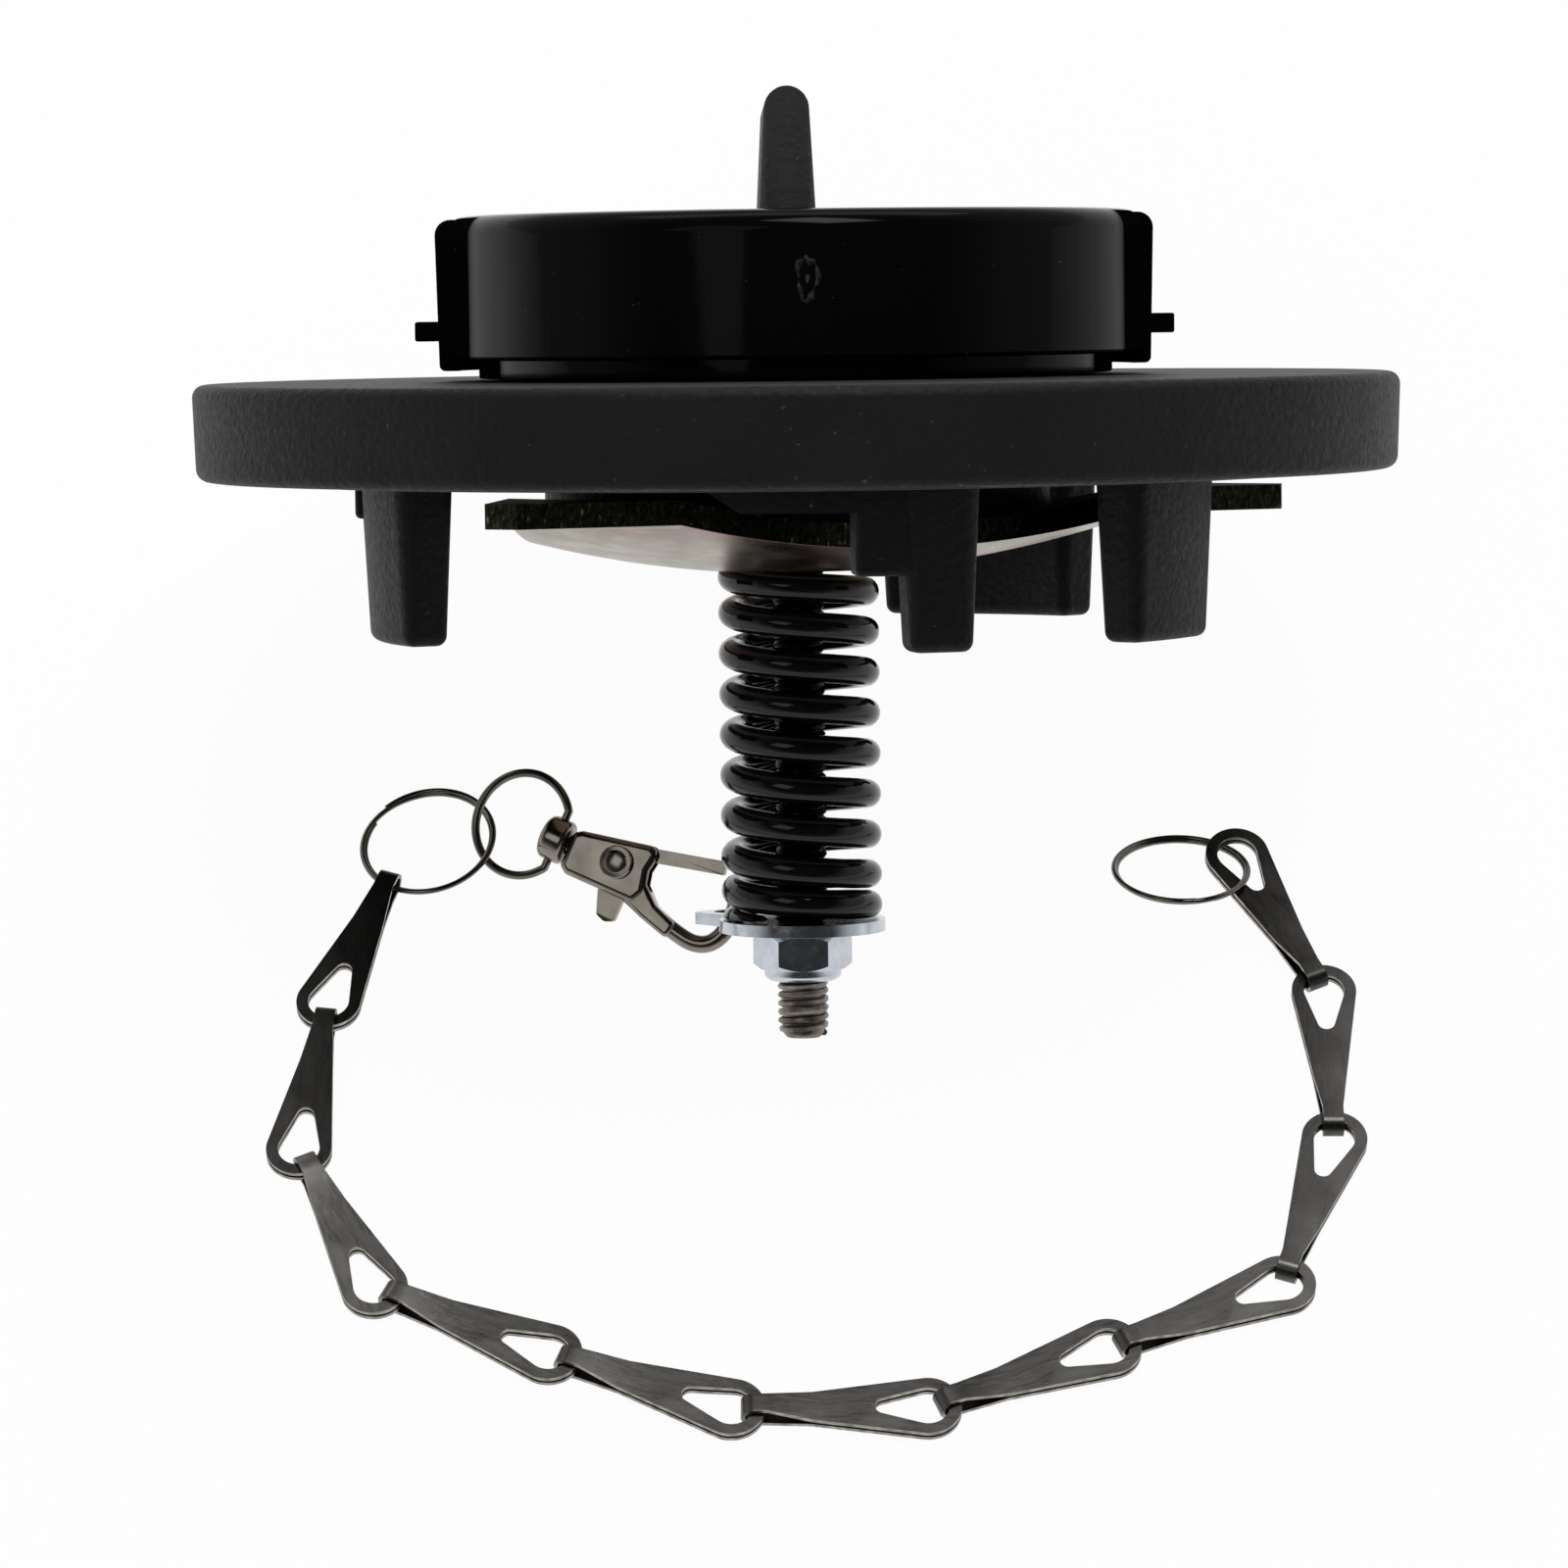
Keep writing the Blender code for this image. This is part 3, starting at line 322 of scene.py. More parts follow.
def rampOf(factor, *stops):
    node = addNode(factor.id_data, "ShaderNodeValToRGB", {"Fac": factor})
    elements = node.color_ramp.elements
    while len(elements) < len(stops):
        elements.new(0.5)
    for element, (place, colour) in zip(elements, stops):
        element.position = place
        element.color = colourOf(colour)
    return node.outputs["Color"]


def rangeOf(value, low, high, top=1.0):
    inputs = {"Value": value, "From Min": low, "From Max": high, "To Max": top}
    return addNode(value.id_data, "ShaderNodeMapRange", inputs).outputs[0]


def mathOf(operation, first, second):
    return addNode(first.id_data, "ShaderNodeMath", {0: first, 1: second}, operation=operation).outputs[0]


def vectorOf(operation, *values):
    inputs = dict(enumerate(values))
    return addNode(values[0].id_data, "ShaderNodeVectorMath", inputs, operation=operation).outputs


def mixOf(tree, factor, first, second, blend="MIX"):
    first, second = (value if isinstance(value, bpy.types.NodeSocket) else colourOf(value)
                     for value in (first, second))
    # 6 and 7 are the mix node's sockets for colours
    node = addNode(tree, "ShaderNodeMix", {0: factor, 6: first, 7: second}, data_type="RGBA", blend_type=blend)
    return node.outputs[2]


def bumpOf(height, depth):
    inputs = {"Height": height, "Distance": depth * mm}
    return addNode(height.id_data, "ShaderNodeBump", inputs).outputs["Normal"]


def stretchOf(place, scale):
    return addNode(place.id_data, "ShaderNodeMapping", {"Vector": place, "Scale": scale}).outputs[0]


def objectPlace(tree):
    return addNode(tree, "ShaderNodeTexCoord").outputs["Object"]


def capPlace(tree):
    # the place measured in the cap's frame, with Z along its axis
    back = capFrame.to_3x3().inverted()
    inputs = {"Vector": objectPlace(tree), "Rotation": tuple(back.to_euler()),
              "Location": tuple(-(back @ capFrame.translation))}
    return addNode(tree, "ShaderNodeMapping", inputs).outputs[0]


def topFaces(tree, amount):
    # what faces along the cap's axis
    way = addNode(tree, "ShaderNodeNewGeometry").outputs["Normal"]
    return rangeOf(vectorOf("DOT_PRODUCT", way, tuple(capAxis))["Value"], 0.9, 0.99, amount)


def newFinish(name, base, rough, metal=0.0, specular=0.5):
    material = finishes[name] = bpy.data.materials.new(name)
    material.use_nodes = True
    shader = material.node_tree.nodes["Principled BSDF"]
    for key, value in (("Base Color", colourOf(base)), ("Roughness", rough), ("Metallic", metal),
                       ("Specular IOR Level", specular)):
        shader.inputs[key].default_value = value
    return material.node_tree, shader


def feed(shader, **outputs):
    for key, output in outputs.items():
        shader.id_data.links.new(output, shader.inputs[key.replace("_", " ")])


def layerOf(place, scale, detail, rough, *stops):
    return rampOf(noiseOf(place, scale, detail, rough), *stops)


def noisyFinish(name, colour=None, gloss=None, bump=None, **shaderValues):
    tree, shader = newFinish(name, **shaderValues)
    place = objectPlace(tree)
    if colour:
        feed(shader, Base_Color=layerOf(place, *colour))
    if gloss:
        feed(shader, Roughness=layerOf(place, *gloss))
    if bump:
        feed(shader, Normal=bumpOf(noiseOf(place, *bump[:3]), bump[3]))
    return tree, shader, place


# colour and gloss: the noise's scale, detail and roughness, then the stops of its ramp
# bump: the same noise, then its depth in mm
looks = {
    "gateMarkBlack": {
        "base": 0.006, "rough": 0.3, "specular": 0.35,
        "colour": (1900, 4, 0.65, (0.42, 0.003), (0.7, 0.034)), "bump": (1900, 4, 0.65, 0.09)},
    "sealRubber": {
        "base": 0.015, "rough": 0.75,
        "colour": (300, 4, 0.6, (0.3, 0.011), (0.75, 0.024)), "bump": (1800, 2, 0.5, 0.03)},
    "springEnamel": {
        "base": 0.0035, "rough": 0.1, "specular": 0.3, "colour": (500, 2, 0.5, (0.3, 0.002), (0.8, 0.005)),
        "gloss": (160, 3, 0.5, (0.3, 0.06), (0.75, 0.16)), "bump": (160, 3, 0.5, 0.06)},
    "brightZinc": {
        "base": (0.45, 0.49, 0.53), "rough": 0.2, "metal": 1.0,
        "colour": (340, 4, 0.6, (0.25, (0.42, 0.46, 0.51)), (0.75, (0.62, 0.66, 0.70))),
        "gloss": (1200, 3, 0.5, (0.3, 0.15), (0.75, 0.3)), "bump": (900, 3, 0.5, 0.01)},
    "lockBrass": {
        "base": (0.62, 0.47, 0.25), "rough": 0.35, "metal": 1.0, "bump": (1500, 2, 0.5, 0.02),
        "colour": (600, 4, 0.5, (0.3, (0.52, 0.39, 0.2)), (0.75, (0.7, 0.55, 0.31)))},
    "linkCutEdge": {
        "base": (0.34, 0.32, 0.29), "rough": 0.36, "metal": 1.0, "bump": (3000, 2, 0.5, 0.02),
        "colour": (900, 4, 0.5, (0.3, (0.16, 0.15, 0.14)), (0.75, (0.48, 0.45, 0.41)))}}


def darkNickel(name, dark, light):
    noisyFinish(name, base=dark, rough=0.18, metal=1.0, colour=(260, 3, 0.5, (0.25, dark), (0.75, light)),
                gloss=(700, 2, 0.5, (0.3, 0.13), (0.75, 0.22)), bump=(500, 1, 0.5, 0.008))


def grainedPlastic(name, dark, light):
    tree, shader, place = noisyFinish(
        name, base=dark, rough=0.5, specular=0.13,
        gloss=(1300, 2, 0.5, (0.3, 0.46), (0.7, 0.6)))
    chips = layerOf(place, 900, 2, 0.5, (0.72, 0.0), (0.8, 0.05))
    worn = mixOf(tree, 1.0, layerOf(place, 70, 3, 0.5, (0.3, dark), (0.7, light)), chips, "ADD")
    # painted sheen: faces along the cap's axis are mixed towards a light warm grey, standing in for the grazing
    # reflection on the lid's top
    topSheen = mixOf(tree, topFaces(tree, 0.2), worn, (0.15, 0.14, 0.13))
    pebbles = addNode(tree, "ShaderNodeTexVoronoi", {"Vector": place, "Scale": 1050}, feature="SMOOTH_F1")
    grain = mathOf("ADD", noiseOf(place, 2100, 3, 0.6), pebbles.outputs["Distance"])
    feed(shader, Base_Color=topSheen, Normal=bumpOf(grain, 0.1))


def glossPlastic(name, left, middle, right):
    black = (0.002, 0.002, 0.0026)
    tree, shader, place = noisyFinish(
        name, base=black, rough=0.08, specular=middle, bump=(60, 2, 0.5, 0.03),
        gloss=(420, 3, 0.6, (0.35, 0.07), (0.75, 0.13)))
    dust = layerOf(place, 2100, 1, 0.5, (0.8, 0.0), (0.87, 0.12))
    # painted reflection: the specular level is set by place around the cup, strongest in bands either side of the
    # front and dying away to none at the ends of the half cup
    way = vectorOf("NORMALIZE", vectorOf("MULTIPLY", capPlace(tree), (1, 1, 0))[0])[0]
    across = rangeOf(addNode(tree, "ShaderNodeSeparateXYZ", {0: way}).outputs["X"], -1.0, 1.0)
    paintedReflection = rampOf(across, (0.04, 0.0), (0.05, left), (0.09, left), (0.143, middle), (0.857, middle),
                    (0.911, right), (0.95, right), (0.96, 0.0))
    feed(shader, Base_Color=mixOf(tree, 1.0, black, dust, "ADD"),
         Specular_IOR_Level=mixOf(tree, topFaces(tree, 1.0), paintedReflection, 0.35))


def studSteel():
    tree, shader, place = noisyFinish(
        "studSteel", base=(0.24, 0.21, 0.18), rough=0.42, metal=1.0,
        gloss=(1500, 3, 0.5, (0.3, 0.3), (0.75, 0.55)), bump=(2400, 3, 0.5, 0.025))
    steel = layerOf(place, 520, 5, 0.65, (0.25, (0.10, 0.085, 0.07)), (0.5, (0.24, 0.21, 0.185)),
                    (0.8, (0.42, 0.39, 0.36)))
    # painted shade: the length inside the coil is painted near black, standing in for the shade between the coils
    nutAt = capFrame.translation.dot(capAxis) - 0.056
    coilShade = rangeOf(vectorOf("DOT_PRODUCT", place, tuple(capAxis))["Value"], nutAt, nutAt + 0.002)
    feed(shader, Base_Color=mixOf(tree, coilShade, steel, 0.012))


def yellowZinc():
    tree, shader, place = noisyFinish(
        "yellowZinc", base=(0.38, 0.35, 0.25), rough=0.28, metal=1.0,
        gloss=(260, 2, 0.5, (0.3, 0.26), (0.75, 0.36)), bump=(1300, 2, 0.5, 0.003))
    # broad passivation clouds: straw, pink and green
    clouds = layerOf(place, 42, 3, 0.55, (0.22, (0.22, 0.21, 0.13)), (0.42, (0.30, 0.265, 0.19)),
                     (0.53, (0.32, 0.21, 0.195)), (0.62, (0.20, 0.24, 0.13)), (0.8, (0.23, 0.19, 0.11)))
    fine = layerOf(place, 300, 3, 0.5, (0.25, 0.88), (0.75, 1.0))
    feed(shader, Base_Color=mixOf(tree, 1.0, clouds, fine, "MULTIPLY"))


def shearedEdge():
    tree, shader = newFinish("shearedEdge", base=(0.05, 0.05, 0.025), rough=0.35, metal=1.0)
    tear = noiseOf(stretchOf(capPlace(tree), (1.0, 1.0, 0.45)), 2300, 5, 0.65)
    tones = rampOf(tear, (0.4, (0.009, 0.009, 0.006)), (0.62, (0.04, 0.038, 0.024)), (0.8, (0.5, 0.47, 0.4)))
    feed(shader, Base_Color=tones, Normal=bumpOf(tear, 0.05))


def linkSheet():
    tree, shader = newFinish("linkSheet", base=(0.09, 0.088, 0.085), rough=0.34, metal=1.0)
    place = addNode(tree, "ShaderNodeAttribute", attribute_name="sheetPlace").outputs["Vector"]
    # painted light: the sheet colour is scaled by the link's own level, lighter or darker to stand in for the
    # reflections it shows
    linkLight = addNode(tree, "ShaderNodeAttribute", attribute_name="linkTone").outputs["Fac"]
    shade = addNode(tree, "ShaderNodeCombineColor", {0: linkLight, 1: linkLight, 2: linkLight}).outputs[0]
    clouds = layerOf(place, 190, 4, 0.6, (0.25, (0.088, 0.085, 0.081)), (0.5, (0.12, 0.116, 0.11)),
                     (0.8, (0.17, 0.163, 0.153)))
    roll = noiseOf(stretchOf(place, (0.12, 1.0, 1.0)), 2600, 3, 0.6)
    feed(shader, Base_Color=mixOf(tree, 1.0, clouds, shade, "MULTIPLY"),
         Roughness=rampOf(roll, (0.3, 0.27), (0.75, 0.42)), Normal=bumpOf(roll, 0.012))


for name, look in looks.items():
    noisyFinish(name, **look)
darkNickel("darkNickel", (0.16, 0.145, 0.125), (0.29, 0.265, 0.228))
darkNickel("ringWire", (0.10, 0.094, 0.084), (0.20, 0.188, 0.168))
grainedPlastic("grainedBlack", 0.0074, 0.0098)
grainedPlastic("gripBlack", 0.024, 0.032)
glossPlastic("glossBlack", 0.14, 0.05, 0.07)
glossPlastic("rearBlack", 0.3, 0.35, 0.3)
studSteel()
yellowZinc()
shearedEdge()
linkSheet()
print("finishes:", len(finishes))


def geometryTree(name, inputs, output):
    tree = bpy.data.node_groups.new(name, "GeometryNodeTree")
    for label, kind in inputs.items():
        tree.interface.new_socket(label, in_out="INPUT", socket_type="NodeSocket" + kind)
    tree.interface.new_socket(output, in_out="OUTPUT", socket_type="NodeSocketGeometry")

    def step(kind, inputs=None, **settings):
        return addNode(tree, "GeometryNode" + kind, inputs, **settings)

    return tree, addNode(tree, "NodeGroupInput").outputs, step


def sweptWireTree():
    inputs = {"Path": "Geometry", "Wire Radius": "Float", "Sides": "Int", "Finish": "Material"}
    tree, given, step = geometryTree("sweptWire", inputs, "Wire")
    path = step("MeshToCurve", {"Mesh": given["Path"]})
    circle = step("CurvePrimitiveCircle", {"Resolution": given["Sides"], "Radius": given["Wire Radius"]})
    sweep = step("CurveToMesh", {"Curve": path, "Profile Curve": circle, "Fill Caps": True})
    real = step("RealizeInstances", {"Geometry": sweep})
    paint = step("SetMaterial", {"Geometry": real, "Material": given["Finish"]})
    addNode(tree, "NodeGroupOutput", {0: paint})
    return tree


def chainLinkTree():
    inputs = {"Places": "Geometry", "Link Shape": "Object", "Link Number": "Int", "Painted Light": "Float",
              "Sheet Finish": "Material", "Edge Finish": "Material"}
    tree, given, step = geometryTree("chainLink", inputs, "Link")
    # 2 and 3 are the compare node's sockets for whole numbers
    other = addNode(tree, "FunctionNodeCompare", {2: step("InputIndex"), 3: given["Link Number"]},
                    data_type="INT", operation="NOT_EQUAL")
    keep = step("DeleteGeometry", {"Geometry": given["Places"], "Selection": other})
    turn = step("InputNamedAttribute", {"Name": "turn"}, data_type="FLOAT_VECTOR")
    shape = step("ObjectInfo", {"Object": given["Link Shape"]}).outputs["Geometry"]
    rows = step("InstanceOnPoints", {"Points": keep, "Instance": shape, "Rotation": turn})
    real = step("RealizeInstances", {"Geometry": rows})
    # painted light: each link carries its own brightness level
    linkLight = step("StoreNamedAttribute", {"Geometry": real, "Name": "linkTone", "Value": given["Painted Light"]})
    sheet = step("SetMaterial", {"Geometry": linkLight, "Material": given["Sheet Finish"]})
    cut = step("InputNamedAttribute", {"Name": "cutEdge"}, data_type="BOOLEAN")
    edge = step("SetMaterial", {"Geometry": sheet, "Selection": cut, "Material": given["Edge Finish"]})
    addNode(tree, "NodeGroupOutput", {0: edge})
    return tree


wireTree = sweptWireTree()
linkTree = chainLinkTree()


def nodesBaked(obj, tree, values):
    # run a node tree on the object, with its inputs given by name
    nodes = obj.modifiers.new(tree.name, "NODES")
    nodes.node_group = tree
    sockets = {item.name: item.identifier for item in tree.interface.items_tree if item.in_out == "INPUT"}
    for name, value in values.items():
        nodes[sockets[name]] = value
    return bakedMesh(obj)


def sweptWire(name, points, radius, sides, finish):
    # points in mm; the path goes in as a string of edges
    mesh = bpy.data.meshes.new(name)
    mesh.from_pydata([tuple(c * mm for c in point) for point in points],
                     [(i, i + 1) for i in range(len(points) - 1)], [])
    values = {"Wire Radius": radius * mm, "Sides": sides, "Finish": finishes[finish]}
    return cleaned(nodesBaked(workObject(name, mesh), wireTree, values))


# lid with its legs and seal, in mm along the cap's axis
# profiles are (radius, height), and rounds go by the number of the profile's corner

lid = {"steps": 240,
       "profile": ((3.3, 15.1), (16.0, 15.1), (16.0, 11.1), (69.9, 11.1), (69.5, 0.0), (65.9, 0.0), (65.9, 5.1),
                   (62.6, 5.1), (62.6, 0.0), (60.8, 0.0), (60.8, 1.7), (51.9, 1.7), (51.9, 0.0), (43.2, 0.0),
                   (43.2, 5.1), (29.3, 5.1), (29.3, -4.923), (3.3, -4.923)),
       "rounds": {1: 0.5, 3: 1.42, 4: 1.42, 5: 0.5, 6: 0.8, 7: 0.8, 8: 0.3, 13: 0.4, 14: 0.8, 15: 0.8, 16: 0.5}}
legs = {"inner": 44.0, "outer": 50.2, "drop": 18.6, "root": 1.0, "corner": 1.75, "foot": 1.2, "draft": 0.45,
        "spans": ((-77.0, -67.2), (-42.0, -20.6), (178.6, 207.2), (42.2, 76.0))}
# first and last angle, inner and outer radius, drop and rise
ribs = {"pad": (-83.5, -72.0, 44.2, 49.7, 10.1, 0.3), "lip": (176.5, 184.0, 46.0, 51.3, 4.6, 0.5),
        "corner": 0.8, "foot": 0.7}
skirt = {"sector": (-103.0, -80.8, 44.4, 49.8), "corner": 0.3, "drop": 3.1, "slopeDeg": 5.0, "slopeLeft": 0.1}
seal = {"profile": ((52.2, 1.4), (60.5, 1.4), (60.5, -0.4), (52.2, -0.4)), "edge": 0.25}


def sectorOutline(first, last, inner, outer, corner, step=2.6):
    count = max(3, round((last - first) / step))
    plan = arcOf(outer, first, last, count) + arcOf(inner, last, first, count)
    return rounded(plan, dict.fromkeys((0, count, count + 1, 2 * count + 1), corner))


def makeSkirt():
    plan = sectorOutline(*skirt["sector"], skirt["corner"])
    mesh = slab("skirt", [plan], -skirt["drop"], legs["root"] - gap)
    first, left = skirt["sector"][0], skirt["slopeLeft"]
    for vertex in mesh.vertices:  # slope the left end
        across = math.degrees(math.atan2(vertex.co.y, vertex.co.x)) - first
        if vertex.co.z < 0 and across < skirt["slopeDeg"]:
            vertex.co.z = -skirt["drop"] * mm * (left + (1 - left) * max(across, 0) / skirt["slopeDeg"])
    return mesh


def makeLid():
    body = lathe("lidBody", rounded(lid["profile"], lid["rounds"]), lid["steps"])
    posts = []
    for first, last in legs["spans"]:
        plan = sectorOutline(first, last, legs["inner"], legs["outer"], legs["corner"])
        levels = [(legs["root"], -legs["draft"])] + roundEnd(-legs["drop"], legs["draft"], legs["foot"])
        posts.append(loft("leg", plan, levels))
    for name in ("pad", "lip"):
        first, last, inner, outer, drop, rise = ribs[name]
        plan = sectorOutline(first, last, inner, outer, ribs["corner"])
        posts.append(loft(name, plan, [(legs["root"] + rise, 0.0)] + roundEnd(-drop, 0.0, ribs["foot"])))
    shell = boolean(body, posts + [makeSkirt()], "UNION")
    putPiece("lidShell", shell, "grainedBlack", "lid", ["lid"])
    flatRing = lathe("seal", rounded(seal["profile"], seal["edge"], 3), lid["steps"])
    putPiece("sealRing", flatRing, "sealRubber", "lid", ["neck_gasket"])
    print("lid, legs and seal made")


makeLid()

# knob: foot ring, front cover, rear cover and grip

knob = {"foot": ((16.3, 13.8), (36.7, 13.8), (36.7, 11.4), (16.3, 11.4)), "footRounds": {1: 0.3, 2: 0.3},
        "steps": 200}
cover = {"radius": 40.4, "split": 0.15, "edge": 0.2,
         "profile": ((0, 30.1), (40.4, 30.1), (40.4, 13.8), (38.6, 13.8), (38.6, 28.1), (0, 28.1)),
         "rounds": {1: 2.4, 2: 0.25, 3: 0.25, 4: 1.5}}
topPlate = {"x": (-11.2, 9.0), "y": (-19.0, -0.15), "z": (29.6, 30.38), "edge": 0.1}
rear = {"profile": ((0, 29.8), (41.7, 29.8), (41.3, 12.3), (38.6, 12.3), (39.9, 27.8), (0, 27.8)),
        "rounds": {1: 1.8, 2: 0.7, 3: 0.5, 4: 0.6}}
pegs = {"x": (40.1, 44.2), "y": (1.85, 4.15), "z": (15.75, 18.05), "edge": 0.25}
fin = {"offset": -1.0, "halfLength": 24.0, "base": 6.6, "tip": 5.1, "top": 44.0, "low": 27.6, "edge": 0.5,
       "slotTop": 60.0}
gateMark = {"angle": -88.8, "height": 22.4, "wide": 3.0, "tall": 6.2, "rise": 0.14, "sunk": 0.06,
            "crestAt": 0.72, "crestWide": 0.16, "coreWide": 0.2, "rows": 10, "columns": 36}


def makeGateMark():
    # the torn mark left where the moulding was fed
    bm = bmesh.new()
    grid = []
    for i in range(gateMark["rows"] + 1):
        out = i / gateMark["rows"]
        row = []
        for k in range(gateMark["columns"]):
            turn = 2 * math.pi * k / gateMark["columns"]
            wobble = 1 + 0.12 * math.sin(3 * turn + 0.6) + 0.09 * math.sin(7 * turn + 2.0)
            x = out * gateMark["wide"] / 2 * wobble * math.cos(turn)
            z = out * gateMark["tall"] / 2 * wobble * math.sin(turn)
            uneven = 0.75 + 0.35 * math.sin(5 * turn + 1.3)
            crest = math.exp(-((out - gateMark["crestAt"]) / gateMark["crestWide"]) ** 2) * uneven
            core = math.exp(-(out / gateMark["coreWide"]) ** 2) * 0.7
            r = cover["radius"] + (gateMark["rise"] * (crest + core) - gateMark["sunk"])
            angle = gateMark["angle"] + math.degrees(x / cover["radius"])
            row += addRing(bm, [polar(r, angle)], gateMark["height"] + z)
        grid.append(row)
    stitch(bm, grid)
    bm.faces.new(grid[-1])
    bmesh.ops.remove_doubles(bm, verts=bm.verts, dist=0.001 * mm)
    putPiece("gateMark", meshFrom(bm, "gateMark"), "gateMarkBlack", "knob", (), smooth=80)


def makeKnob():
    footRing = lathe("foot", rounded(knob["foot"], knob["footRounds"], 3), knob["steps"])
    putPiece("knobFoot", footRing, "glossBlack", "knob", ["knob_base"])

    split, wide = cover["split"], 2 * cover["radius"]
    sides = about(fin["offset"], 2 * (fin["base"] / 2 + gap))
    slotEnd = fin["halfLength"] + gap
    slotRise = (fin["low"], fin["slotTop"])
    cup = lathe("frontCup", rounded(cover["profile"], cover["rounds"], 10), knob["steps"])
    rearHalf = box("rearHalf", (-wide, wide), (-split, wide), (-wide, wide))
    slot = box("slot", sides, (-slotEnd, 1), slotRise)
    front = bevelled(boolean(cup, [rearHalf, slot], "DIFFERENCE"), cover["edge"], 2, 60)
    raised = box("topPlate", topPlate["x"], topPlate["y"], topPlate["z"])
    raised = boolean(bevelled(raised, topPlate["edge"], 2), [slot], "DIFFERENCE")
    front = boolean(front, [raised], "UNION")
    putPiece("frontCover", front, "glossBlack", "knob", ["front_cover"])
    makeGateMark()

    cup = lathe("rearCup", rounded(rear["profile"], rear["rounds"], 8), knob["steps"])
    tabs = []
    for side in (-1, 1):
        peg = box("peg", sorted(side * x for x in pegs["x"]), pegs["y"], pegs["z"])
        tabs.append(bevelled(peg, pegs["edge"]))
    frontHalf = box("frontHalf", (-wide, wide), (-wide, split), (-wide, wide))
    slot = box("slot", sides, (-1, slotEnd), slotRise)
    back = boolean(boolean(cup, tabs, "UNION"), [frontHalf, slot], "DIFFERENCE")
    putPiece("rearCover", bevelled(back, cover["edge"], 2, 60), "rearBlack", "rear_cover", ["rear_cover"])

    base, tip, half = fin["base"] / 2, fin["tip"] / 2, fin["halfLength"]
    section = [(-base, fin["low"]), (base, fin["low"])] + arcOf(tip, 0, 180, 20, (0.0, fin["top"] - tip))
    blade = slab("fin", [section], -half, half)
    blade.transform(moved(fin["offset"]) @ turned(90, "X"))
    straight = half - base
    plan = arcOf(base, 0, 180, 24, (fin["offset"], straight))
    plan += arcOf(base, 180, 360, 24, (fin["offset"], -straight))
    blade = boolean(blade, [slab("finPlan", [plan], fin["low"] - 1, fin["top"] + 4)], "INTERSECT")
    putPiece("gripFin", bevelled(blade, fin["edge"], 3, 50), "gripBlack", "knob", ["grip_fin"],
             smooth=50)
    print("knob made")


makeKnob()

# lock plate: a dished triangle with a seat for the coil pressed into it

plate = {"thickness": 2.8, "top": -1.8, "inradius": 30.0, "tipRadius": 56.2, "turnDeg": -6.0,
         "domeRadius": 41.0, "curvature": 120.0, "bore": 3.6, "seatRadius": 10.0, "seatDepth": 1.7, "edge": 0.35,
         "rings": 20, "steps": 144, "edgeFrom": 20.0}


def makeLockPlate():
    rings = plate["rings"]
    foot = plate["seatRadius"] + plate["seatDepth"]
    radii = [plate["bore"], plate["seatRadius"]]
    radii += [foot + (plate["domeRadius"] - foot) * i / rings for i in range(rings + 1)] + [plate["tipRadius"]]
    top = []
    for r in radii:
        dip = max(0, plate["domeRadius"] ** 2 - r ** 2) / (2 * plate["curvature"])
        top.append((r, plate["top"] - dip + max(0, min(plate["seatDepth"], foot - r))))
    bottom = [(r, z - plate["thickness"]) for r, z in reversed(top)]
    dish = lathe("dish", top + bottom, plate["steps"])
    triangle = slab("triangle", [circleOf(2 * plate["inradius"], 3)], -30, 30)
    triangle.transform(turned(plate["turnDeg"], "Z"))
    blank = bevelled(boolean(dish, [triangle], "INTERSECT"), plate["edge"], 3, 50)
    blank.materials.clear()
    for finish in ("yellowZinc", "shearedEdge"):
        blank.materials.append(finishes[finish])
    for polygon in blank.polygons:
        upright = abs(polygon.normal.z) < 0.5
        polygon.material_index = 1 if upright and polygon.center.length > plate["edgeFrom"] * mm else 0
    putPiece("lockPlate", blank, None, "plate", ["lock_plate"])
    print("lock plate made")


makeLockPlate()

# stud, spring, tab washer and nut

stud = {"shank": ((0, 18.2), (2.45, 18.2), (2.45, -65.3), (1.95, -65.9), (0, -65.9)),
        "plain": ((0, 18.2), (3.0, 18.2), (3.0, -7.0), (0, -7.0)), "steps": 48, "flats": 10.0, "headLow": 17.2,
        "headHigh": 21.2, "headEdge": 0.4, "core": 2.45, "tip": -65.9, "threadTop": -7.0, "threadFrom": 0.5,
        "threadCut": 0.48, "runOut": 1.76, "pitch": 1.0, "perTurn": 28, "ridge": 0.43, "ridgeSides": 6,
        "ridgeSunk": 0.16, "ridgeSwell": 0.28}
spring = {"outer": 9.4, "wire": 3.4, "length": 41.5, "turns": 8.4, "topPitch": 3.8, "topTurns": 0.6,
          "footPitch": 3.6, "footTurns": 1.0, "tailTurns": 0.75, "startDeg": 175.0, "perTurn": 48, "sides": 20,
          "travel": 8.1, "groundRadius": 14.0, "groundDeep": 6.0}
washer = {"radius": 9.7, "bore": 3.3, "thickness": 1.4, "edge": 0.22, "tabDeg": 130.0, "holeAt": 12.9,
          "holeRadius": 2.0,
          "tab": ((6.5, -3.6), (15.2, -3.6), (16.0, -2.8), (16.0, 2.8), (15.2, 3.6), (6.5, 3.6))}
nut = {"flats": 10.0, "height": 4.1, "chamfer": 0.7, "collar": 1.4, "collarRadius": 4.5, "collarEnd": 3.8,
       "collarRound": 0.5, "edge": 0.12, "steps": 96}
domeDeep = plate["domeRadius"] ** 2 / (2 * plate["curvature"])
springTop = plate["top"] - plate["thickness"] - domeDeep + plate["seatDepth"] - gap  # in the plate's seat
springFoot = springTop - spring["length"]


def hexOutline(flats):
    return circleOf(flats / math.sqrt(3), 6)


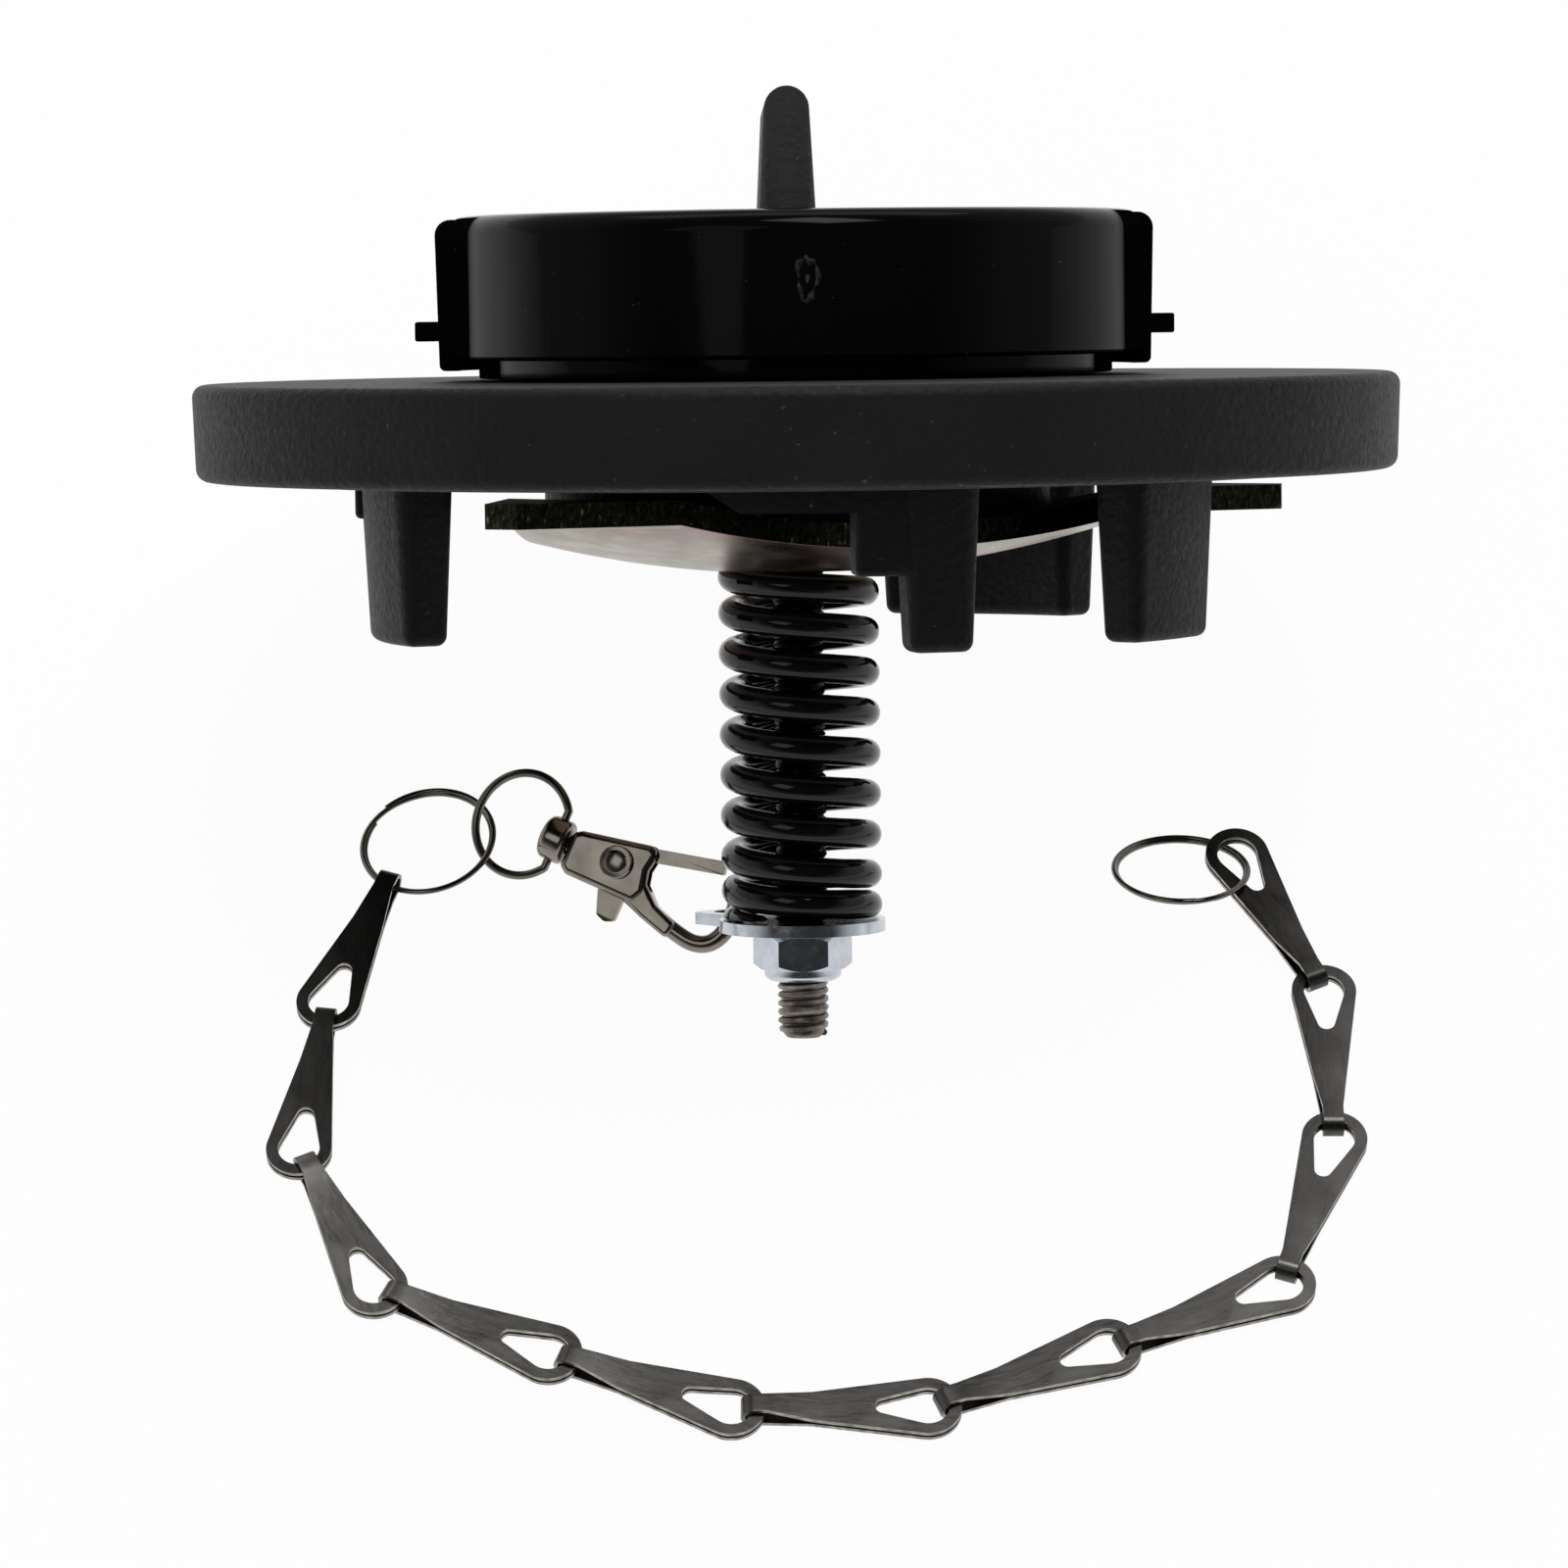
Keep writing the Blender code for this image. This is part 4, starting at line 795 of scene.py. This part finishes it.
def makeStud():
    tip = stud["tip"]
    shank, plain = (lathe(name, stud[name], stud["steps"]) for name in ("shank", "plain"))
    head = slab("head", [hexOutline(stud["flats"])], stud["headLow"], stud["headHigh"])
    turns = (stud["threadTop"] - tip - stud["threadCut"]) / stud["pitch"]
    count = round(turns * stud["perTurn"])
    helix = []
    for i in range(count + 1):
        z = tip + stud["threadFrom"] + (turns * stud["pitch"]) * i / count
        run = min(1.0, (z - tip) / stud["runOut"])  # the thread runs out at the tip
        r = stud["core"] - stud["ridgeSunk"] + stud["ridgeSwell"] * run
        helix.append((*polar(r, 360 * turns * i / count), z))
    thread = sweptWire("thread", helix, stud["ridge"], stud["ridgeSides"], "studSteel")
    whole = joined("stud", [shank, plain, bevelled(head, stud["headEdge"], 2), thread])
    putPiece("threadedStud", whole, "studSteel", "lid", ["stud"], smooth=50)


def makeSpring():
    half, foot = spring["wire"] / 2, springFoot
    centre, rise = spring["outer"] - half, spring["length"] - spring["wire"]
    turns, topTurns, footTurns = spring["turns"], spring["topTurns"], spring["footTurns"]
    ends = topTurns * spring["topPitch"] + footTurns * spring["footPitch"]
    pitch = (rise - ends) / (turns - topTurns - footTurns)
    full = turns + spring["tailTurns"]  # the tail is ground away level with the washer
    count = round(full * spring["perTurn"])
    coil = []
    for i in range(count + 1):
        turn = full * i / count
        first, last = min(turn, topTurns), max(0, turn - turns + footTurns)
        drop = first * spring["topPitch"] + last * spring["footPitch"] + (turn - first - last) * pitch
        coil.append((*polar(centre, spring["startDeg"] + 360 * turn), springTop - half - drop))
    wire = sweptWire("coil", coil, half, spring["sides"], "springEnamel")
    ground = slab("ground", [circleOf(spring["groundRadius"], 48)], foot - spring["groundDeep"], foot)
    wire = boolean(wire, [ground], "DIFFERENCE")
    coiled = putPiece("coilSpring", wire, "springEnamel", "lid", ["compression_spring"],
                      smooth=60)
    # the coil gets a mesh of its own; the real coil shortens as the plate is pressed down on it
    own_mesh(coiled)


def makeWasherAndNut():
    top = springFoot - gap
    bottom = top - washer["thickness"]
    disc = slab("disc", [circleOf(washer["radius"], 96), circleOf(washer["bore"], 32)], bottom, top)
    tab = slab("tab", [washer["tab"], circleOf(washer["holeRadius"], 32, (washer["holeAt"], 0))], bottom, top)
    tab.transform(turned(washer["tabDeg"], "Z"))
    flat = bevelled(boolean(disc, [tab], "UNION"), washer["edge"], 3, 50)
    putPiece("tabWasher", flat, "brightZinc", "lid", ["tab_washer"])

    top = bottom - gap
    low = top - nut["height"]
    end = low - nut["collar"]
    flats, reach = nut["flats"] / 2, nut["flats"] / math.sqrt(3) + 0.1
    ends = lathe("ends", [(0, top), (flats, top), (reach, top - nut["chamfer"]), (reach, low + nut["chamfer"]),
                          (flats, low), (0, low)], nut["steps"])
    body = boolean(slab("hex", [hexOutline(nut["flats"])], low, top), [ends], "INTERSECT")
    turn, wide = nut["collarRound"], nut["collarRadius"]
    profile = [(0, low + turn), (wide, low + turn), (wide, end + turn), (nut["collarEnd"], end), (0, end)]
    collar = lathe("collar", rounded(profile, {2: turn, 3: turn}), nut["steps"])
    bore = slab("bore", [circleOf(washer["bore"], 40)], end - 1, top + 1)
    body = boolean(boolean(body, [collar], "UNION"), [bore], "DIFFERENCE")
    putPiece("lockNut", bevelled(body, nut["edge"], 2, 25), "brightZinc", "lid", ["lock_nut"],
             smooth=30)


makeStud()
makeSpring()
makeWasherAndNut()
print("stud, spring, washer and nut made")

# clasp, in its own frame: x to the hook, y across its face, z out of its face

clasp = {"thickness": 3.3, "slit": 1.6, "wire": 1.05, "bodyCorner": 0.95, "bodyEdge": 0.85,
         "hook": ((-11.8, -2.5), (-9.0, -3.4), (-5.2, -4.4), (-2.9, -4.6), (-1.2, -3.9), (-0.2, -2.4),
                  (0.1, -0.6), (0.0, 1.2), (-0.5, 2.6), (-1.1, 3.4)),
         "body": ((-21.6, -2.6), (-20.6, -3.3), (-11.5, -3.3), (-10.6, -1.6), (-11.2, 1.0), (-10.8, 3.4),
                  (-12.0, 4.0), (-20.6, 2.3), (-21.6, 1.7)),
         "room": ((-18.0, -8.0), (-12.4, -8.0), (-12.4, -1.1), (-8.0, -1.1), (-8.0, 8.0), (-18.0, 8.0)),
         "arm": ((-13.4, -3.2), (-10.0, -4.4), (-6.0, -5.5), (-5.6, -3.5), (-8.8, -2.3), (-11.6, 0.2)),
         "armHalf": 1.35, "armCorner": 0.7, "armEdge": 0.6, "rivetAt": (-15.1, 0.5), "rivetRadius": 1.1,
         "rivetRise": 0.7, "rivetDome": ((0.0, 0.0), (1.0, 0.0), (1.3, 0.12), (1.42, 0.3), (1.6, 0.32),
                                         (1.85, 0.35), (2.0, 0.55))}  # radius, and fall from the top
gate = {"thickness": 1.0, "edge": 0.22,
        "outline": ((-17.3, 0.2), (-16.4, -3.0), (-15.2, -6.2), (-14.0, -6.6), (-12.9, -6.1), (-12.9, -3.0),
                    (-13.2, -0.6), (-12.4, 1.9), (-2.7, 4.2), (-3.1, 5.8), (-12.6, 3.6), (-16.3, 2.6)),
        "corners": {1: 0.6, 2: 0.7, 3: 0.5, 4: 0.5, 8: 0.3, 9: 0.3, 10: 1.0, 11: 0.5}}
swivel = {"barrel": ((1.2, 0.0), (2.7, 0.0), (2.7, -3.2), (0, -3.2), (0, -2.5), (1.8, -2.5), (1.8, -0.7),
                     (1.2, -0.7)), "rounds": {1: 0.6, 2: 0.9}, "wall": 0.7, "pinAt": -1.6, "neck": 0.9,
          "neckHead": 1.5, "headLength": 1.0, "headEdge": 0.2}
bail = {"radius": 6.2, "wire": 0.52, "back": 5.0, "foot": 0.6, "straight": 0.8, "turnDeg": -10.5}
claspRear = min(x for x, _ in clasp["body"])


def smoothPath(points, steps):
    # a Catmull-Rom run through the points
    run = []
    count = len(points)
    for i in range(count - 1):
        p = [Vector(points[max(0, min(count - 1, i + k))]) for k in (-1, 0, 1, 2)]
        for s in range(steps):
            t = s / steps
            run.append(0.5 * (2 * p[1] + (p[2] - p[0]) * t + (2 * p[0] - 5 * p[1] + 4 * p[2] - p[3]) * t * t
                              + (3 * p[1] - p[0] - 3 * p[2] + p[3]) * t ** 3))
    return run + [Vector(points[-1])]


def makeClasp():
    half = clasp["thickness"] / 2
    eyeOutline = circleOf(clasp["rivetRadius"] + gap, 32, clasp["rivetAt"])
    corners = dict.fromkeys((0, 1, 2, 3, 5, 6, 7, 8), clasp["bodyCorner"])  # the corner at the gate stays sharp
    shell = loft("claspShell", rounded(clasp["body"], corners), roundEnds(half, clasp["bodyEdge"], 7))
    arm = loft("arm", rounded(clasp["arm"], clasp["armCorner"], 4), roundEnds(clasp["armHalf"], clasp["armEdge"]))
    room = slab("room", [clasp["room"]], *about(0, clasp["slit"]))
    eye = slab("eye", [eyeOutline], -4, 4)
    shell = boolean(boolean(shell, [arm], "UNION"), [room, eye], "DIFFERENCE")
    path = smoothPath([(x, y, 0.0) for x, y in clasp["hook"]], 6)
    hook = sweptWire("hook", path, clasp["wire"], 20, "darkNickel")
    headFront = claspRear - 2 * gap - swivel["wall"]
    headEnd = headFront - swivel["headLength"]
    neck = bar("neck", swivel["neck"], (claspRear + 2, 0, 0), (headFront - swivel["headLength"] / 2, 0, 0))
    head = bar("neckHead", swivel["neckHead"], (headFront, 0, 0), (headEnd, 0, 0))
    whole = boolean(shell, [hook, neck, bevelled(head, swivel["headEdge"], 2)], "UNION")
    putPiece("claspBody", whole, "darkNickel", "clasp", ["clasp_body"], claspFrame, 45)

    seat = half + gap
    end = seat + clasp["rivetRise"]
    dome = [(r, end - fall) for r, fall in clasp["rivetDome"]]
    dome += [(dome[-1][0], seat), (clasp["rivetRadius"], seat)]
    rivet = lathe("rivet", dome + [(r, -z) for r, z in reversed(dome)], 48)
    rivet.transform(moved(*clasp["rivetAt"]))
    putPiece("claspRivet", rivet, "darkNickel", "clasp", ["clasp_rivet"], claspFrame, 30)

    lever = rounded(gate["outline"], gate["corners"], 4)
    lever = bevelled(slab("gate", [lever, eyeOutline], *about(0, gate["thickness"])), gate["edge"], 3, 40)
    putPiece("claspGate", lever, "darkNickel", "gate", ["clasp_gate"], claspFrame)


def makeSwivel():
    barrel = lathe("barrel", rounded(swivel["barrel"], swivel["rounds"], 6), 72)
    barrel.transform(turned(90, "Y"))
    pinHole = bar("pinHole", bail["wire"] + gap, (swivel["pinAt"], -6, 0), (swivel["pinAt"], 6, 0))
    barrel = boolean(barrel, [pinHole], "DIFFERENCE")
    front = claspFrame @ moved(claspRear - gap)
    putPiece("swivelBarrel", barrel, "darkNickel", "swivel", ["swivel_barrel"], front, 45)

    opening = math.degrees(math.acos(bail["back"] / bail["radius"]))
    bow = arcOf(bail["radius"], opening, 360 - opening, 90, (-bail["back"], 0.0))
    foot = swivel["neckHead"] + bail["foot"]
    knee = foot + bail["straight"]
    path = [(0, foot), (0, knee)] + bow + [(0, -knee), (0, -foot)]
    wire = sweptWire("bail", [(x, y, 0) for x, y in path], bail["wire"], 16, "ringWire")
    hang = front @ moved(swivel["pinAt"]) @ turned(bail["turnDeg"], "Y")
    putPiece("swivelBail", wire, "ringWire", "bail", ["swivel_bail"], hang, 60)


makeClasp()
makeSwivel()
print("clasp and swivel made")

# split rings and chain

ring = {"radius": 7.85, "wire": 0.33, "layer": 0.13, "perTurn": 96, "overlapDeg": 18.0, "stepFrom": 0.44,
        "stepLong": 0.12, "splits": {"near": 150.0, "end": -62.0}}
link = {"length": 24.7, "sheet": 0.5, "plyGap": 0.3, "meetAt": 8.0, "wide": 3.79, "narrow": 1.2,
        "slotWide": 2.4, "slotNarrow": 1.0, "slotLength": 8.3, "edge": 0.06, "foldEnd": 1.6,
        "lastHeading": 115.4, "lastPitch": 4.0, "ringWire": 0.45, "ringSlack": 0.5,
        # tones: painted light, one level per link that makes its sheet lighter or darker to stand in for its
        # reflections
        "tones": (0.42, 0.46, 1.2, 1.0, 0.95, 0.88, 0.95, 0.95, 0.7, 0.62, 0.6)}


def splitRing(splitDeg):
    # two turns of wire lying on each other, with their ends lapped at the split
    count = 2 * ring["perTurn"]
    points = []
    for i in range(count + 1):
        part = i / count
        angle = splitDeg + 720 * part * (1 - ring["overlapDeg"] / 720)
        step = max(0.0, min(1.0, (part - ring["stepFrom"]) / ring["stepLong"]))
        shift = ring["layer"] * (2 * step * step * (3 - 2 * step) - 1)
        points.append((*polar(ring["radius"] + shift, angle), shift))
    return sweptWire("splitRing", points, ring["wire"], 14, "ringWire")


def keepVectors(mesh, name, vectors):
    attribute = mesh.attributes.new(name, "FLOAT_VECTOR", "POINT")
    for item, vector in zip(attribute.data, vectors):
        item.vector = vector


def linkShape():
    # a strip folded back on itself, with both plies pierced by a keyhole slot
    ply, narrow, through = link["plyGap"] / 2, link["narrow"], (-8, 8)
    stack = link["sheet"] + ply
    inner = stack + gap
    outer = inner + link["sheet"]
    depth = inner - math.sqrt(inner ** 2 - stack ** 2)
    inSlot = math.sqrt(link["slotWide"] ** 2 - narrow ** 2) - depth - gap - link["sheet"]
    openTo = link["wide"] - inSlot + gap
    length, meet = link["length"], link["meetAt"]
    top = arcOf(outer, 180, 90, 10, (outer, 0)) + [(openTo, outer), (meet, stack), (length, stack)]
    top += [(length, ply), (meet, ply), (openTo, inner)] + arcOf(inner, 90, 180, 10, (outer, 0))
    hairpin = top + [(x, -z) for x, z in reversed(top[1:-1])]
    strip = slab("strip", [hairpin], *through)
    strip.transform(turned(90, "X"))
    eye = length - link["wide"]
    plan = arcOf(link["wide"], -100, 100, 40, (eye, 0))
    plan += [(openTo, narrow), (-5, narrow), (-5, -narrow), (openTo, -narrow)]
    slotAt = eye + link["slotWide"] - link["slotLength"] + link["slotNarrow"]
    lean = math.degrees(math.asin((link["slotWide"] - link["slotNarrow"]) / (eye - slotAt)))
    slot = arcOf(link["slotWide"], -90 - lean, 90 + lean, 30, (eye, 0))
    slot += arcOf(link["slotNarrow"], 90 + lean, 270 - lean, 16, (slotAt, 0))
    shape = boolean(strip, [slab("plan", [plan], *through)], "INTERSECT")
    shape = boolean(shape, [slab("slot", [slot], *through)], "DIFFERENCE")
    shape = bevelled(shape, link["edge"], 2, 50)
    keepVectors(shape, "sheetPlace", [vertex.co for vertex in shape.vertices])
    cut = shape.attributes.new("cutEdge", "BOOLEAN", "FACE")
    for polygon, item in zip(shape.polygons, cut.data):
        inFold = polygon.center.x < link["foldEnd"] * mm
        item.value = abs(polygon.normal.y) > 0.72 if inFold else abs(polygon.normal.z) < 0.6
    return shape, inSlot


def makeRings():
    for end, splitDeg in ring["splits"].items():
        joint = joints[f"ring_{end}_turn"]
        putPiece("ring" + end.title(), splitRing(splitDeg), "ringWire", f"ring_{end}", [f"split_ring_{end}"],
                 frameFrom(joint["pos_m"], (1, 0, 0), joint["axis"]), 60)


def makeChain():
    shape, inSlot = linkShape()
    source = workObject("linkSource", shape)
    names = [f"link_{i:02d}" for i in range(1, len(link["tones"]) + 1)]
    pivots = [Vector(joints[name + "_turn"]["pos_m"]) for name in names]
    places, turns = [], []
    for i, pivot in enumerate(pivots):
        if i + 1 < len(pivots):
            run = pivots[i + 1] - pivot
            heading, pitch = math.atan2(run.y, run.x), 0.0
        else:
            heading, pitch = math.radians(link["lastHeading"]), -math.radians(link["lastPitch"])
        start = inSlot if i else -(link["ringWire"] + gap + link["ringSlack"] + link["sheet"])
        turn = Matrix.Rotation(heading, 4, "Z") @ Matrix.Rotation(pitch, 4, "Y")
        places.append(pivot + turn @ Vector((start * mm, 0, 0)))
        turns.append(turn.to_euler())
    spots = bpy.data.meshes.new("linkSpots")
    spots.from_pydata(places, [], [])
    keepVectors(spots, "turn", turns)
    for i, name in enumerate(names):
        values = {"Link Shape": source, "Link Number": i, "Painted Light": link["tones"][i],
                  "Sheet Finish": finishes["linkSheet"], "Edge Finish": finishes["linkCutEdge"]}
        mesh = nodesBaked(workObject("linkWork", spots), linkTree, values)
        putPiece(name.replace("link_", "chainLink"), mesh, None, name + "_body", [name], None, 40)
    bpy.data.objects.remove(source, do_unlink=True)


makeRings()
makeChain()
print("rings and chain made")

# the lock and the washer inside stay as solids

keptFinish = {"retaining_washer": "brightZinc", "lock_housing": "grainedBlack", "lock_plug": "lockBrass",
              "lock_tongue": "brightZinc"}
for node, finish in keptFinish.items():
    for painted in frame["nodes"][node].material_slots:
        painted.material = finishes[finish]

# floor, light and camera

studio = {"floor": 0.8, "floorGlow": 0.96, "floorHalf": 4.0, "side": 0.6, "over": 0.04,
          "upward": (0.0, -0.45, 0.89), "aim": (0, 0, 0.03),
          # place, size, power and whether the gloss shows it: the lamp by the camera stays out of it
          "lamps": {"key": ((0.1, 0.1, 0.9), (0.4, 0.3), 4.0, True),
                    "front": ((-0.2, -0.75, 0.75), (0.8, 0.5), 3.0, False),
                    "left": ((-0.45, -0.5, 0.9), (0.5, 0.5), 0.8, True),
                    "rim": ((0.0, 0.85, 0.8), (1.2, 0.4), 3.0, True)}}
shot = {"lens": 146.25, "elevation": 49.08, "place": (-1.5, -512.3, 584.2)}  # from the foot of the cap's middle


def bareTree(owner):
    owner.use_nodes = True
    owner.node_tree.nodes.clear()
    return owner.node_tree


def makeFloor():
    material = bpy.data.materials.new("paleFloor")
    tree = bareTree(material)
    path = addNode(tree, "ShaderNodeLightPath").outputs
    seen = mathOf("MAXIMUM", mathOf("MAXIMUM", path["Is Camera Ray"], path["Is Glossy Ray"]),
                  path["Is Transmission Ray"])
    share = mathOf("MULTIPLY", seen, studio["floorGlow"])
    matte = addNode(tree, "ShaderNodeBsdfDiffuse", {"Color": colourOf(studio["floor"])})
    glow = addNode(tree, "ShaderNodeEmission", {"Color": (1, 1, 1, 1), "Strength": 1.0})
    mix = addNode(tree, "ShaderNodeMixShader", {0: share, 1: matte, 2: glow})
    addNode(tree, "ShaderNodeOutputMaterial", {"Surface": mix})
    half = studio["floorHalf"]
    mesh = bpy.data.meshes.new("floor")
    mesh.from_pydata([(-half, -half, 0), (half, -half, 0), (half, half, 0), (-half, half, 0)], [], [(0, 1, 2, 3)])
    mesh.materials.append(material)
    workObject("floor", mesh)


def makeLight():
    scene.world = bpy.data.worlds.new("studio")
    tree = bareTree(scene.world)
    # a soft grey room with a dark ceiling
    way = addNode(tree, "ShaderNodeTexCoord").outputs["Generated"]
    upward = vectorOf("DOT_PRODUCT", way, studio["upward"])["Value"]
    room = rampOf(upward, (0.0, studio["side"]), (0.3, studio["side"]), (0.65, studio["over"]))
    back = addNode(tree, "ShaderNodeBackground", {"Color": room, "Strength": 1.0})
    addNode(tree, "ShaderNodeOutputWorld", {"Surface": back})
    for name, (place, size, power, mirrored) in studio["lamps"].items():
        lamp = bpy.data.lights.new(name, "AREA")
        lamp.shape = "RECTANGLE"
        lamp.size, lamp.size_y = size
        lamp.energy = power
        obj = workObject(name, lamp)
        obj.location = place
        obj.visible_glossy = mirrored
        obj.rotation_mode = "QUATERNION"
        obj.rotation_quaternion = (Vector(studio["aim"]) - Vector(place)).to_track_quat("-Z", "Y")


def makeCamera():
    camera = bpy.data.cameras.new("shot")
    camera.sensor_width = 36
    camera.lens = shot["lens"]
    camera.clip_start = 0.01
    obj = workObject("shot", camera)
    place = Vector(shot["place"]) * mm + Vector((*capFrame.translation.xy, 0))
    obj.matrix_world = Matrix.Translation(place) @ turned(90 - shot["elevation"], "X")
    scene.camera = obj


makeFloor()
makeLight()
makeCamera()
scene.view_settings.view_transform = "Standard"
print("floor, light and camera made")
